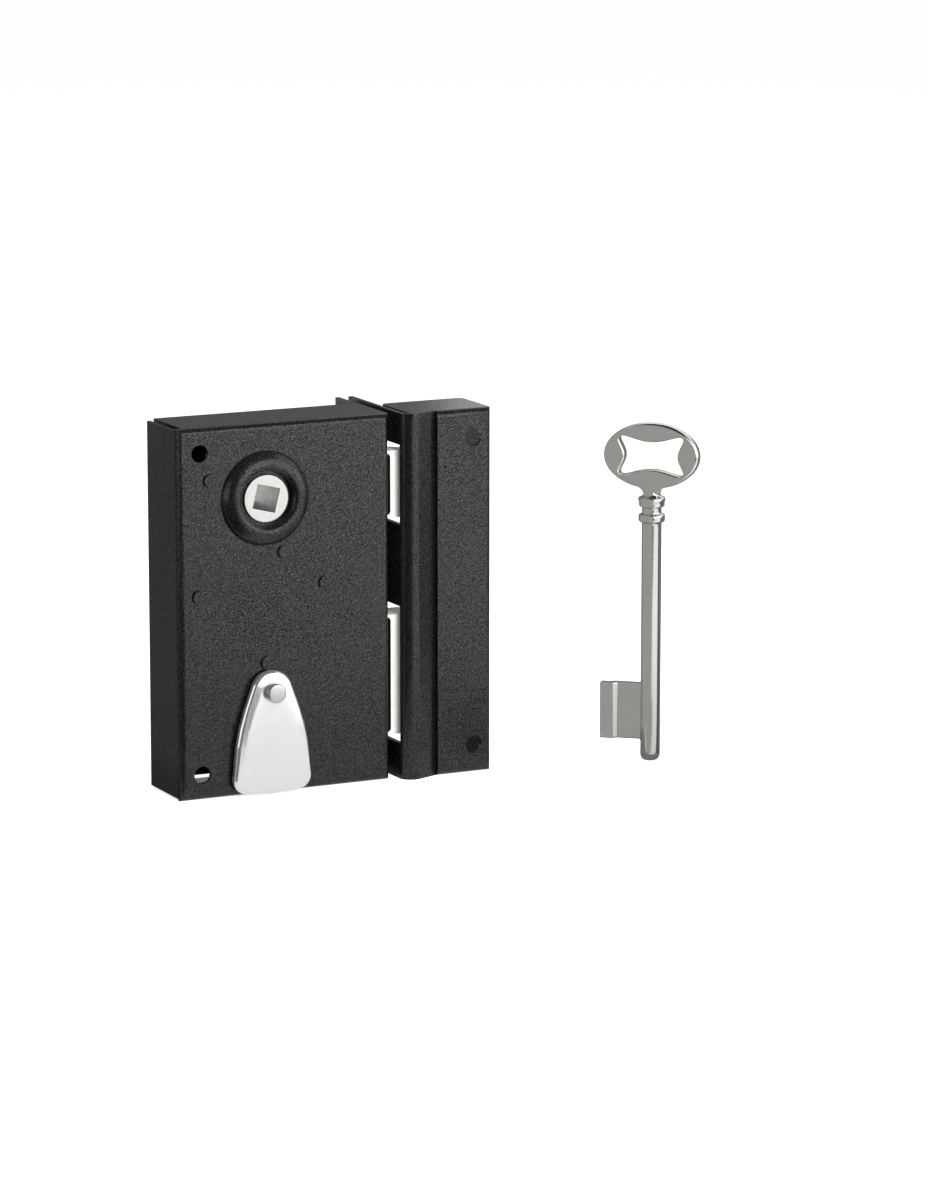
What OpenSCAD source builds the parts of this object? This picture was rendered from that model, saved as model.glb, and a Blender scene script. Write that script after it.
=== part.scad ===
// Rim box lock with its keeper and key.
// Lock axes: X across the door towards the keeper, Y from the room into the door, Z up.
// The origin is the spindle axis where it meets the door face.

/* [Case] */
// Width of the case, left wall to forend
case_w = 67.5; // [66:0.5:76]
// Height of the case and of the keeper
case_h = 110; // [108:1:120]
// Depth of the case, front to door face
case_d = 22.5; // [22:0.5:27]
// Thickness of the case sheet
sheet = 1.2; // [1:0.1:1.4]
// Outer radius of the folds
fold_r = 2; // [1.8:0.1:2.6]
// How far the forend laps past the door face
forend_lip = 13; // [10:0.5:16]
// Slit left between two folded walls at a corner
corner_slit = 0.9; // [0.4:0.1:1.2]
// How far the side walls stop short of the top and bottom faces
wall_step = 0.6; // [0.3:0.1:0.9]
// Diameter of the screw holes through the case
screw_hole_d = 5.2; // [4.2:0.1:5.6]
// Screw holes, distance from the left wall
screw_inset_x = 7; // [6.5:0.5:8]
// Screw holes, distance from the top and bottom
screw_inset_z = 7.5; // [7:0.5:8.5]
// Diameter of the screw holes in the lips
lip_hole_d = 4.5; // [3.5:0.1:5]
// Lip screw holes, distance from the top and bottom
lip_hole_inset = 15; // [12:1:20]

/* [Back plate and pillars] */
// Thickness of the back plate
plate_t = 1.5; // [1.2:0.1:2]
// Gap between the back plate and the top and bottom walls
plate_gap_z = 1.3; // [0.6:0.1:1.6]
// Gap between the back plate and the side walls
plate_gap_x = 0.5; // [0.3:0.1:0.8]
// Diameter of the pillars
pillar_d = 6; // [5.5:0.1:6.4]
// Diameter of the bolt guide pillar
guide_d = 5; // [4.6:0.1:5.2]
// Diameter of the riveted ends that show in the front
rivet_end_d = 4; // [3.6:0.1:4.2]
// How far the riveted ends stand out of the front
rivet_proud = 0.9; // [0.5:0.1:1]
// Top pillar, distance from the left wall
pillar_top_x = 10.1; // [9.6:0.1:10.6]
// Top pillar, height above the spindle
pillar_top_rise = 6.3; // [6.2:0.1:6.8]
// Left pillar, distance from the left wall
pillar_left_x = 6.3; // [5.8:0.1:7]
// Right pillar, distance left of the forend
pillar_right_in = 21.1; // [20:0.1:22]
// Left and right pillars, distance below the spindle
pillar_drop = 27; // [26:0.5:28]
// Thread diameter of the back plate screws
plate_screw_d = 3; // [2.5:0.1:3]
// Length of the back plate screws
plate_screw_l = 10; // [8:0.5:12]

/* [Spindle hub] */
// Spindle and keyhole axis, distance left of the forend
backset = 40; // [39:0.5:42]
// Spindle axis, distance below the top of the case
hub_drop = 22; // [21.5:0.5:24]
// Side of the square spindle hole
spindle_w = 7.1; // [6:0.1:8]
// Turn of the square at rest, clockwise from the front
square_tilt = 14; // [0:1:20]
// Diameter of the bosses that the hub turns on
boss_d = 14; // [13:0.5:14]
// How far the front boss stands out of the front
boss_proud = 1; // [0.5:0.1:1.5]
// Diameter of the hub body
hub_d = 17; // [16:0.5:17.2]
// Radius from the axis to the nose of the latch arm
arm_r = 14; // [13.8:0.1:14.2]
// Radius of the nose of the latch arm
nose_r = 2; // [1.8:0.1:2.2]
// Length of the stop arm from the axis
stop_arm_l = 17; // [16:0.5:17.5]
// Width of the stop arm
stop_arm_w = 6; // [5:0.1:6.2]
// Thickness of the hub arms
arm_t = 4; // [3.5:0.1:4.4]
// Outer diameter of the pressed ring round the spindle hole
ring_d = 28; // [27:0.5:29]
// Diameter of the crest of the pressed ring
ring_crest_d = 19.8; // [19.4:0.1:20.4]
// Inner diameter of the pressed ring
ring_inner_d = 16.2; // [15.9:0.1:16.6]
// Height of the pressed ring
ring_h = 3; // [2.6:0.1:3.4]

/* [Latch bolt] */
// Height of the latch head
latch_h = 20; // [18:0.5:21]
// How far the middle of the latch lies above the spindle axis
latch_rise = 0.7; // [0.4:0.1:1]
// How far the latch stands out of the forend
latch_throw = 10; // [8:0.5:10.2]
// Length of the latch head inside the forend
latch_inside = 15.5; // [15:0.1:15.8]
// Thickness of both bolts
bolt_t = 10; // [9:0.5:11]
// Thickness left at the tip of the latch bevel
latch_tip_t = 2.3; // [1.8:0.1:3]
// Height of the latch bar above the hub
bar_h = 3.3; // [3:0.1:3.4]
// Thickness of the latch bar
bar_t = 3; // [2.5:0.1:3.4]
// Width of the tab that the hub arm pushes
tab_w = 4; // [3:0.5:4.5]
// Diameter of the spring bore in the latch
spring_bore_d = 6.4; // [6.2:0.1:6.8]
// Depth of the spring bore in the latch
spring_bore_l = 12.5; // [11.5:0.5:13]
// Outer diameter of the latch spring
spring_d = 5.6; // [5.4:0.1:5.8]
// Wire diameter of the latch spring
spring_wire = 0.8; // [0.6:0.1:0.9]
// Turns of the latch spring
spring_turns = 10; // [8:1:12]
// Thickness of the latch bracket
bracket_t = 1.5; // [1.2:0.1:1.6]

/* [Dead bolt] */
// Height of the dead bolt head
bolt_h = 36.3; // [34:0.1:37]
// Height of the middle of the dead bolt head
bolt_mid_z = 31.5; // [31:0.1:32.5]
// How far the dead bolt stands out of the forend
bolt_throw = 15; // [12:0.5:15]
// Length of the dead bolt head inside the forend
bolt_inside = 9; // [8:0.5:9]
// Height of the dead bolt tail
tail_h = 15; // [14.5:0.5:16]
// Height of the lower edge of the tail
tail_z = 31; // [30.5:0.1:31.3]
// Thickness of the dead bolt tail
tail_t = 4; // [3:0.5:5]
// Height of the guide slot and its pillar above the tail's lower edge
guide_rise = 8.1; // [7.9:0.1:8.6]
// Width of the notch that the key drives
talon_w = 11; // [10:0.5:12]
// Depth of the detent notches
detent_depth = 2; // [1.5:0.1:2.5]
// Detent, distance from the left wall
detent_x = 20; // [19.5:0.5:21]
// Thickness of the detent leaf
leaf_t = 0.6; // [0.4:0.1:0.8]
// Width of the detent leaf
leaf_w = 6; // [4:0.5:7]
// Depth of the recesses cast in the fronts of the bolts
recess_depth = 1.3; // [0.8:0.1:1.4]
// Rim left round the recesses
recess_rim = 0.8; // [0.6:0.1:1.2]
// Corner radius of the recesses
recess_corner = 1.2; // [0.8:0.1:1.6]
// How far the recesses reach past the forend
recess_out = 0.9; // [0.6:0.1:1.5]

/* [Keyhole and its cover] */
// Height of the keyhole axis
keyhole_z = 19; // [18.8:0.1:19.2]
// Height of the cover's rivet
cover_pivot_z = 31; // [30.5:0.1:31.2]
// Cover's rivet, distance right of the keyhole axis
cover_pivot_out = 0.7; // [0:0.1:1]
// Room round the key's shank in the keyhole
keyhole_room = 0.55; // [0.3:0.05:0.6]
// Radius at the top of the cover
cover_top_r = 6.6; // [6:0.1:6.8]
// Distance of that radius's middle below the rivet
cover_top_drop = 0.4; // [0:0.1:0.6]
// Radius at the cover's shoulder
cover_shoulder_r = 9.2; // [8.8:0.1:9.4]
// Distance of that radius's middle below the rivet
cover_shoulder_drop = 8; // [7.5:0.1:8.5]
// Radius at the cover's belly
cover_belly_r = 10.6; // [10.3:0.1:10.8]
// Distance of that radius's middle below the rivet
cover_belly_drop = 12.8; // [12.4:0.1:13.2]
// Radius at the cover's hip
cover_hip_r = 11.5; // [11.3:0.1:11.7]
// Distance of that radius's middle below the rivet
cover_hip_drop = 17.2; // [16.8:0.1:17.6]
// Half width of the cover at its lower corners
cover_half_w = 12.4; // [11.8:0.1:12.8]
// Radius of the cover's lower corners
cover_corner_r = 4.2; // [3.6:0.1:4.6]
// Distance from the rivet to the cover's lower edge
cover_drop = 30.6; // [29.5:0.1:30.7]
// How much lower the middle of that edge is than its corners
cover_bow = 0.6; // [0.3:0.1:1]
// Depth of the drawn cover
cover_depth = 2.4; // [2.2:0.1:3]
// Radius of the cover's rim
cover_rim_r = 1.7; // [1.4:0.1:1.9]
// Thickness of the cover
cover_t = 1; // [0.8:0.1:1.1]
// Gap between the cover's edge and the front
cover_gap = 1.3; // [1.2:0.05:1.6]
// Shank diameter of the cover's rivet
cover_rivet_d = 4; // [3.6:0.1:4.2]
// Head diameter of the cover's rivet
cover_head_d = 5.8; // [5.4:0.1:6.2]
// Head height of the cover's rivet
cover_head_h = 2.5; // [1.8:0.1:2.8]

/* [Keeper] */
// Gap between the forend and the keeper
door_gap = 3; // [2.5:0.1:4]
// Width of the keeper
keeper_w = 29.5; // [28:0.5:34]
// Thickness of the keeper sheet
keeper_t = 1.5; // [1.2:0.1:1.6]
// How far the keeper's panel stands in front of the case
panel_proud = 2; // [1.8:0.1:2.4]
// How far the keeper's back lies in front of the door face
keeper_set = 4; // [3:0.5:5]
// How far the keeper's lip ends short of the forend's
keeper_lip_short = 0.1; // [0:0.1:2]
// Outer radius of the keeper's nose
keeper_nose_r = 3.8; // [3.6:0.1:4]
// Slope of the nose down to the panel, degrees
nose_slope = 22; // [20:0.5:24]
// Length of that slope
slope_l = 7; // [6.5:0.1:7.5]
// Overlap of the strike under the panel
strike_lap = 6; // [4:0.5:8]
// Slit between the strike and the keeper's top and bottom walls
keeper_slit = 1.2; // [0.8:0.1:1.5]
// Corner radius of the keeper's top and bottom walls at the back
lid_corner_r = 2; // [1:0.1:2.5]
// Keeper screw holes, diameter
keeper_hole_d = 5.4; // [4.5:0.1:5.6]
// Keeper screw holes, distance from the right wall
keeper_hole_in = 6; // [5.5:0.1:6.5]
// Keeper screw holes, distance from the top and bottom
keeper_hole_inset = 8.5; // [8:0.1:10]
// Room above and below the latch in its mouth
latch_mouth_room = 1.9; // [1:0.1:2.5]
// Room above and below the dead bolt in its mouth
bolt_mouth_room = 2.6; // [1:0.1:3]

/* [Key] */
// Length of the key
key_l = 103.1; // [100:0.1:110]
// Diameter of the shank
shank_d = 5.8; // [5.4:0.1:6]
// Reach of the bit from the axis of the shank
bit_reach = 15.2; // [14.6:0.1:15.2]
// Height of the bit along the shank
bit_h = 17.3; // [15:0.1:17.5]
// Distance from the tip to the bit
bit_start = 6.4; // [5:0.1:8]
// Thickness of the bit
bit_t = 2.6; // [2:0.1:3]
// Width of the land along the edge of the bit
land_w = 4; // [3:0.1:5]
// How far the land is stepped sideways
land_step = 1; // [0.6:0.1:1.2]
// Width of the oval bow
bow_w = 29.2; // [28:0.1:34]
// Height of the oval bow
bow_h = 19.9; // [19:0.1:23]
// Thickness of the bow
bow_t = 4; // [3:0.1:4.5]
// Width of the hole in the bow
bow_hole_w = 19.6; // [17:0.1:20]
// Height of the hole in the bow
bow_hole_h = 11.4; // [9:0.1:11.6]
// How far the hole's long sides curve in
bow_hole_bow_z = 1.6; // [0.5:0.1:2]
// How far the hole's short sides curve in
bow_hole_bow_x = 2.2; // [1:0.1:2.4]
// Diameter of the upper collar
collar_d = 8.1; // [7.6:0.1:9]
// Height of the upper collar
upper_collar_h = 3.9; // [3:0.1:4.5]
// Height of the lower collar
lower_collar_h = 2.4; // [2:0.1:3.5]
// Groove between the collars
collar_groove = 1.3; // [1:0.1:3]
// Neck between the upper collar and the bow
bow_neck = 2.4; // [1:0.1:3]
// Turn of the standing key about its shank, degrees
key_turn = -41; // [-60:1:-20]
// Place of the standing key, to the right of the forend
key_out = 81.8; // [74:0.1:110]
// Place of the standing key, in front of the case
key_fore = 10.3; // [4:0.1:30]

/* [Fits] */
// Running clearance of a turning boss or pin, on the radius
run_gap = 0.05; // [0.03:0.01:0.08]
// Clearance between sliding pieces
slide_gap = 0.3; // [0.25:0.05:0.35]
// Clearance round riveted and screwed pieces, on the radius
seat_gap = 0.05; // [0.02:0.01:0.1]

/* [Hidden] */
$fn = 64;

// Overshoot of a cut past the face that it opens
cut = 1;
// Rounds a worked-out place to a hundredth, so that faces which meet there share it
function snap(v) = round(v * 100) / 100;

// Colours
powder_black = [0.16, 0.16, 0.17];
bright_zinc = [0.86, 0.86, 0.87];
cast_zinc = [0.74, 0.73, 0.70];
bare_steel = [0.55, 0.56, 0.58];
spring_steel = [0.40, 0.41, 0.44];
nickel = [0.66, 0.66, 0.67];

// Places in the lock, measured from the case's front lower left corner
hub_x = case_w - backset;
hub_z = case_h - hub_drop;
plate_y = case_d - plate_t;
forend_in = case_w - sheet;
lip_end = case_d + forend_lip;
bolt_y = sheet + slide_gap;
bolt_back = bolt_y + bolt_t;
pillar_top_at = [pillar_top_x, hub_z + pillar_top_rise];
tail_top = tail_z + tail_h;
pillar_z = max(hub_z - pillar_drop, tail_top + pillar_d);
pillar_left_at = [pillar_left_x, pillar_z - slide_gap * 2];
pillar_right_at = [case_w - pillar_right_in, pillar_z + slide_gap * 2];
guide_at = [hub_x + slide_gap, tail_z + guide_rise];
screw_ats = [pillar_top_at, pillar_right_at, pillar_left_at, guide_at];
case_hole_ats = [[screw_inset_x, screw_inset_z], [screw_inset_x, case_h - screw_inset_z]];
lip_hole_y = case_d + forend_lip / 2;
screw_head_r = plate_screw_d * 0.95;

// Hub and latch arm
arm_y = bolt_y + bolt_t - arm_t;
latch_bar_y = arm_y + (arm_t - bar_t) / 2;
nose_top = hub_z + arm_r + nose_r;
bar_z = nose_top + slide_gap * 1.5;
bar_top = bar_z + bar_h;
tab_x = hub_x - nose_r - slide_gap;
tab_z = pillar_top_at[1] + pillar_d / 2 + slide_gap * 1.5;
arm_w = nose_r * 2;
boss_back = slide_gap;

// Latch
latch_x = case_w - latch_inside;
latch_end = case_w + latch_throw;
latch_mid_z = hub_z + latch_rise;
latch_z = latch_mid_z - latch_h / 2;
web_x = forend_in - slide_gap;
web_w = 6;
spring_wall = 1.1;
spring_y = bolt_y + recess_depth + spring_wall + spring_bore_d / 2;
spring_end = latch_x + spring_bore_l;

// Latch bracket and its rivet
bracket_x = hub_x + hub_d / 2 + slide_gap * 7;
bracket_face = bracket_x + bracket_t;
bracket_foot_w = 10;
bracket_rivet_in = 6.2;
bracket_rivet_drop = 16.3;
bracket_rivet_at = [bracket_face - bracket_rivet_in, hub_z - bracket_rivet_drop];
bracket_foot_z = bracket_rivet_at[1] - bracket_foot_w / 2;
bracket_depth = 17;
bracket_head_h = 1.2;
bracket_head_r = rivet_end_d / 2 + bracket_head_h;
spigot_l = 3;
spigot_r = spring_d / 2 - spring_wire - slide_gap;

// Dead bolt
bolt_x = case_w - bolt_inside;
bolt_end = case_w + bolt_throw;
bolt_z = bolt_mid_z - bolt_h / 2;
tail_y = bolt_back - tail_t;
tail_x = sheet + bolt_throw + slide_gap * 2.5;
guide_slot_r = guide_d / 2 + slide_gap;
talon_mid = hub_x + bolt_throw / 2;
talon_top = keyhole_z + bit_reach + slide_gap * 1.7;

// Keyhole
keyhole_r = shank_d / 2 + keyhole_room;
bit_gap = 0.4;

// Key cover, heights above the front face
cover_face = cover_gap + cover_depth;
cover_inner = cover_face - cover_t;
cover_at = [hub_x + cover_pivot_out, cover_pivot_z];
cover_head_rim = 0.5;
cover_rivet_tail_h = 1;
cover_spacer_wall = 1.15;
cover_play = 0.2;

// Keeper, from the same corner
keeper_x = case_w + door_gap;
keeper_end = keeper_x + keeper_w;
keeper_back = case_d - keeper_set;
lid_x = keeper_x + keeper_t + keeper_slit;
keeper_lip_end = lip_end - keeper_lip_short;
panel_y = -panel_proud;
panel_back = panel_y + keeper_t;
nose_mid = [keeper_x + keeper_nose_r,
    snap(panel_back + keeper_nose_r * cos(nose_slope) - slope_l * sin(nose_slope))];
slope_end_x = snap(nose_mid[0] + keeper_nose_r * sin(nose_slope) + slope_l * cos(nose_slope));
// The slope starts a little inside the nose, so that it cuts it and doesn't only touch it
nose_bite = 0.02;
nose_lap = 14;
slope_start = nose_mid + (keeper_nose_r - nose_bite) * [sin(nose_slope), -cos(nose_slope)];
slope_run = [slope_end_x, panel_back] - slope_start;
slope_over = keeper_t * 0.15;
mouth_fore = 1.8;
mouth_aft = 1.5;
mouth_y = bolt_y - mouth_fore;
mouth_back = bolt_back + mouth_aft;
keeper_hole_ats = [[keeper_end - keeper_hole_in, keeper_hole_inset],
    [keeper_end - keeper_hole_in, case_h - keeper_hole_inset]];
keeper_lip_hole_y = (keeper_back + keeper_lip_end) / 2;

// Key, in its own frame: shank along Z, tip at zero, bit towards -X
bow_mid = key_l - bow_h / 2;
bow_foot = key_l - bow_h;
bow_root = 2;
upper_collar = [bow_foot - bow_neck - upper_collar_h, bow_foot - bow_neck];
lower_collar = [upper_collar[0] - collar_groove - lower_collar_h, upper_collar[0] - collar_groove];
lower_collar_d = collar_d - 0.3;
neck_d = shank_d - 0.4;
tip_l = 1.2;

// Puts a module drawn from the case corner into the lock's own axes
module in_lock() {
    translate([-hub_x, -case_d, -hub_z])
        children();
}

// Turns a shape drawn in X and Z as a plan so that it runs from y0 back to y1
module plate(y0, y1) {
    translate([0, y1, 0])
        rotate([90, 0, 0])
            linear_extrude(y1 - y0)
                children();
}

// A round bar along Y at a place [x, z], from y0 to y1
module bar_y(at, r, y0, y1) {
    translate([at[0], y1, at[1]])
        rotate([90, 0, 0])
            cylinder(r = r, h = y1 - y0);
}

// A turned shape at a place [x, z], whose height runs out of the front
module front_turn(at, y0 = 0) {
    translate([at[0], y0, at[1]])
        rotate([90, 0, 0])
            rotate_extrude()
                children();
}

// A rectangle with its two front corners rounded
module fold_plan(x0, x1, y0, y1, r) {
    translate([x0 + r, y0])
        square([x1 - x0 - 2 * r, y1 - y0]);
    translate([x0, y0 + r])
        square([x1 - x0, y1 - y0 - r]);
    for (x = [x0 + r, x1 - r])
        translate([x, y0 + r])
            circle(r);
}

// A block whose four front edges are rounded
module fold_block(x0, x1, z0, z1, y0, y1, r) {
    intersection() {
        translate([0, 0, z0])
            linear_extrude(z1 - z0)
                fold_plan(x0, x1, y0, y1, r);
        translate([x0, 0, 0])
            rotate([90, 0, 90])
                linear_extrude(x1 - x0)
                    rotate(90)
                        mirror([0, 1])
                            fold_plan(z0, z1, y0, y1, r);
    }
}

// A rectangle in X and Z with round corners
module round_rect(x0, x1, z0, z1, r) {
    translate([x0 + r, z0])
        square([x1 - x0 - 2 * r, z1 - z0]);
    translate([x0, z0 + r])
        square([x1 - x0, z1 - z0 - 2 * r]);
    for (x = [x0 + r, x1 - r], z = [z0 + r, z1 - r])
        translate([x, z])
            circle(r);
}

// Half section of the pressed ring, out to a given skin below its outside
module ring_section(skin) {
    crest = ring_crest_d / 2;
    reach = ring_d / 2 - crest;
    outer_r = (reach * reach + ring_h * ring_h) / (2 * ring_h);
    inner_r = crest - ring_inner_d / 2;
    intersection() {
        translate([crest, ring_h - outer_r])
            circle(outer_r - skin);
        translate([crest, -sheet])
            square([ring_d, ring_d]);
    }
    intersection() {
        translate([crest, ring_h - inner_r])
            circle(inner_r - skin);
        translate([0, ring_h - inner_r])
            square([crest, ring_d]);
    }
    translate([ring_inner_d / 2 + skin, -sheet])
        square([inner_r - skin, ring_h - inner_r + sheet]);
}

// Outline of the keyhole: a round for the shank and a stepped slot for the bit
module keyhole() {
    half = bit_t / 2 + bit_gap;
    land_top = bit_reach - land_w;
    translate([hub_x, keyhole_z]) {
        circle(keyhole_r);
        translate([-half, -land_top])
            square([2 * half, land_top]);
        translate([-half - land_step, -bit_reach - bit_gap / 2])
            square([2 * half, land_w + bit_gap]);
    }
}

module case_shell() color(powder_black) in_lock() {
    difference() {
        union() {
            difference() {
                fold_block(0, case_w, 0, case_h, 0, case_d, fold_r);
                fold_block(sheet, forend_in, sheet, case_h - sheet, sheet, case_d + cut, fold_r - sheet);
            }
            translate([forend_in, case_d - cut, 0])
                cube([sheet, forend_lip + cut, case_h]);
            front_turn([hub_x, hub_z])
                ring_section(0);
        }
        front_turn([hub_x, hub_z])
            intersection() {
                ring_section(sheet);
                translate([0, -sheet])
                    square(ring_d);
            }
        front_turn([hub_x, hub_z], sheet + cut)
            square([boss_d / 2 + run_gap, sheet + cut * 2]);
        for (at = case_hole_ats)
            bar_y(at, screw_hole_d / 2, -cut, sheet + cut);
        for (at = concat(screw_ats, [bracket_rivet_at]))
            bar_y(at, rivet_end_d / 2 + seat_gap, -cut, sheet + cut);
        bar_y(cover_at, cover_rivet_d / 2 + seat_gap, -cut, sheet + cut);
        plate(-cut, sheet + cut)
            keyhole();
        forend_mouth(latch_z, latch_h);
        forend_mouth(bolt_z, bolt_h);
        for (z = [lip_hole_inset, case_h - lip_hole_inset])
            translate([forend_in - cut, lip_hole_y, z])
                rotate([0, 90, 0])
                    cylinder(d = lip_hole_d, h = sheet + cut * 2);
        for (z = [-cut, case_h - sheet - slide_gap])
            translate([sheet, fold_r, z])
                cube([corner_slit, case_d, sheet + slide_gap + cut]);
        for (z = [-cut, case_h - wall_step])
            translate([-cut, fold_r, z])
                cube([sheet + cut + corner_slit / 2, case_d, wall_step + cut]);
    }
}

// Hole in the forend for a bolt, with sliding clearance all round
module forend_mouth(z, h) {
    translate([forend_in - cut, bolt_y - slide_gap, z - slide_gap])
        cube([sheet + cut * 2, bolt_t + slide_gap * 2, h + slide_gap * 2]);
}

module back_plate() color(bare_steel) in_lock() {
    difference() {
        translate([sheet + plate_gap_x, plate_y, sheet + plate_gap_z])
            cube([case_w - 2 * (sheet + plate_gap_x), plate_t, case_h - 2 * (sheet + plate_gap_z)]);
        bar_y([hub_x, hub_z], boss_d / 2 + run_gap, plate_y - cut, case_d + cut);
        for (at = case_hole_ats)
            bar_y(at, screw_hole_d / 2, plate_y - cut, case_d + cut);
        plate(plate_y - cut, case_d + cut)
            keyhole();
        for (at = screw_ats)
            screw_shape(at, seat_gap, cut);
    }
}

// Countersunk screw from the back, grown by a gap, with its head run out past the plate
module screw_shape(at, gap, over) {
    head_h = screw_head_r - plate_screw_d / 2;
    bar_y(at, plate_screw_d / 2 + gap, case_d - plate_screw_l - gap, case_d);
    translate([at[0], case_d, at[1]])
        rotate([90, 0, 0])
            cylinder(r1 = screw_head_r + gap, r2 = plate_screw_d / 2 + gap, h = head_h);
    if (over > 0)
        bar_y(at, screw_head_r + gap, case_d, case_d + over);
}

module back_plate_screws() color(bright_zinc) in_lock() {
    socket_w = 0.8;
    socket_depth = 0.7;
    for (at = screw_ats)
        difference() {
            screw_shape(at, 0, 0);
            translate([at[0] - screw_head_r, case_d - socket_depth, at[1] - socket_w / 2])
                cube([screw_head_r * 2, socket_depth + cut, socket_w]);
        }
}

// A pillar between the front and the back plate, riveted in front and tapped behind
module pillar(at, d) {
    difference() {
        union() {
            bar_y(at, d / 2, sheet, plate_y);
            bar_y(at, rivet_end_d / 2, -rivet_proud, sheet + cut);
        }
        screw_shape(at, seat_gap, 0);
    }
}

module pillar_top() color(bare_steel) in_lock() pillar(pillar_top_at, pillar_d);

module pillar_right() color(bare_steel) in_lock() pillar(pillar_right_at, pillar_d);

module pillar_left() color(bare_steel) in_lock() pillar(pillar_left_at, pillar_d);

module bolt_guide_pillar() color(bare_steel) in_lock() pillar(guide_at, guide_d);

module bracket_rivet() color(bare_steel) in_lock() {
    head_y = sheet + bracket_t;
    bar_y(bracket_rivet_at, rivet_end_d / 2, -rivet_proud, head_y + bracket_head_h / 2);
    bar_y(bracket_rivet_at, bracket_head_r, head_y, head_y + bracket_head_h);
}

module latch_bracket() color(bare_steel) in_lock() {
    upright_h = case_h - fold_r - bracket_foot_z;
    difference() {
        union() {
            translate([bracket_face - bracket_foot_w, sheet, bracket_foot_z])
                cube([bracket_foot_w, bracket_t, bracket_foot_w]);
            translate([bracket_x, sheet, bracket_foot_z])
                cube([bracket_t, bracket_depth, upright_h]);
            translate([bracket_x, spring_y, latch_mid_z])
                rotate([0, 90, 0])
                    cylinder(r = spigot_r, h = bracket_t + spigot_l);
        }
        bar_y(bracket_rivet_at, rivet_end_d / 2 + seat_gap, 0, sheet + bracket_t + cut);
        translate([bracket_x - cut, latch_bar_y - slide_gap, bar_z - slide_gap])
            cube([bracket_t + cut * 2, bar_t + slide_gap * 2, case_h]);
    }
}

module hub() color(bright_zinc) in_lock() {
    front = sheet + slide_gap;
    back = plate_y - slide_gap;
    difference() {
        union() {
            bar_y([hub_x, hub_z], boss_d / 2, -boss_proud, case_d - boss_back);
            bar_y([hub_x, hub_z], hub_d / 2, front, back);
            plate(arm_y, arm_y + arm_t) {
                translate([hub_x - arm_w / 2, hub_z])
                    square([arm_w, arm_r]);
                translate([hub_x, hub_z + arm_r])
                    circle(nose_r);
                translate([hub_x - stop_arm_l, hub_z - stop_arm_w / 2])
                    square([stop_arm_l, stop_arm_w]);
            }
        }
        translate([hub_x, case_d / 2, hub_z])
            rotate([0, square_tilt, 0])
                cube([spindle_w, case_d * 2, spindle_w], center = true);
    }
}

module latch_bolt() color(cast_zinc) in_lock() {
    tip_back = bolt_y + latch_tip_t;
    bevel_x = case_w + slide_gap * 2;
    difference() {
        union() {
            translate([0, 0, latch_z])
                linear_extrude(latch_h)
                    polygon([[latch_x, bolt_y], [latch_end, bolt_y], [latch_end, tip_back],
                        [bevel_x, bolt_back], [latch_x, bolt_back]]);
            translate([web_x - web_w, latch_bar_y, latch_z + latch_h - cut])
                cube([web_w, bar_t, bar_top - latch_z - latch_h + cut]);
            translate([tab_x - tab_w, latch_bar_y, bar_z])
                cube([web_x - tab_x + tab_w, bar_t, bar_h]);
            translate([tab_x - tab_w, latch_bar_y, tab_z])
                cube([tab_w, bar_t, bar_z - tab_z + cut]);
        }
        translate([latch_x - cut, spring_y, latch_mid_z])
            rotate([0, 90, 0])
                cylinder(d = spring_bore_d, h = spring_bore_l + cut);
        front_recess(latch_x + recess_rim, latch_z, latch_h);
    }
}

// Shallow recess cast in the front of a bolt
module front_recess(x0, z, h) {
    plate(bolt_y - cut, bolt_y + recess_depth)
        round_rect(x0, case_w + recess_out, z + recess_rim, z + h - recess_rim, recess_corner);
}

// Points of a ring of wire at a place along the coil
function coil_point(t, r, x0, x1) =
    let (a = 360 * spring_turns * t)
    [x0 + (x1 - x0) * t, r * cos(a), r * sin(a)];

module latch_spring() color(spring_steel) in_lock() {
    sides = 6;
    rings = spring_turns * 8;
    wire_r = spring_wire / 2;
    mean_r = spring_d / 2 - wire_r;
    x0 = bracket_face + wire_r + seat_gap;
    x1 = spring_end - wire_r - seat_gap;
    pitch = (x1 - x0) / spring_turns;
    climb = atan2(pitch, 2 * PI * mean_r);
    points = [for (i = [0:rings], k = [0:sides - 1])
        let (a = 360 * spring_turns * i / rings)
        let (out = wire_r * cos(360 * k / sides), up = wire_r * sin(360 * k / sides))
        let (side = up * sin(climb))
        coil_point(i / rings, mean_r, x0, x1)
            + [up * cos(climb), out * cos(a) + side * sin(a), out * sin(a) - side * cos(a)]];
    walls = [for (i = [0:rings - 1], k = [0:sides - 1])
        let (a = i * sides + k, b = i * sides + (k + 1) % sides)
        each [[a, b, a + sides], [b, b + sides, a + sides]]];
    last = rings * sides;
    ends = [for (k = [1:sides - 2])
        each [[0, k + 1, k], [last, last + k, last + k + 1]]];
    middles = [for (i = [0:rings]) coil_point(i / rings, mean_r, x0, x1)];
    apart = min([for (i = [0:7], j = [6:10]) norm(middles[i + j] - middles[i])]) - spring_wire;
    echo(latch_spring_least_gap = apart);
    translate([0, spring_y, latch_mid_z])
        polyhedron(points, concat(walls, ends));
}

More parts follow.
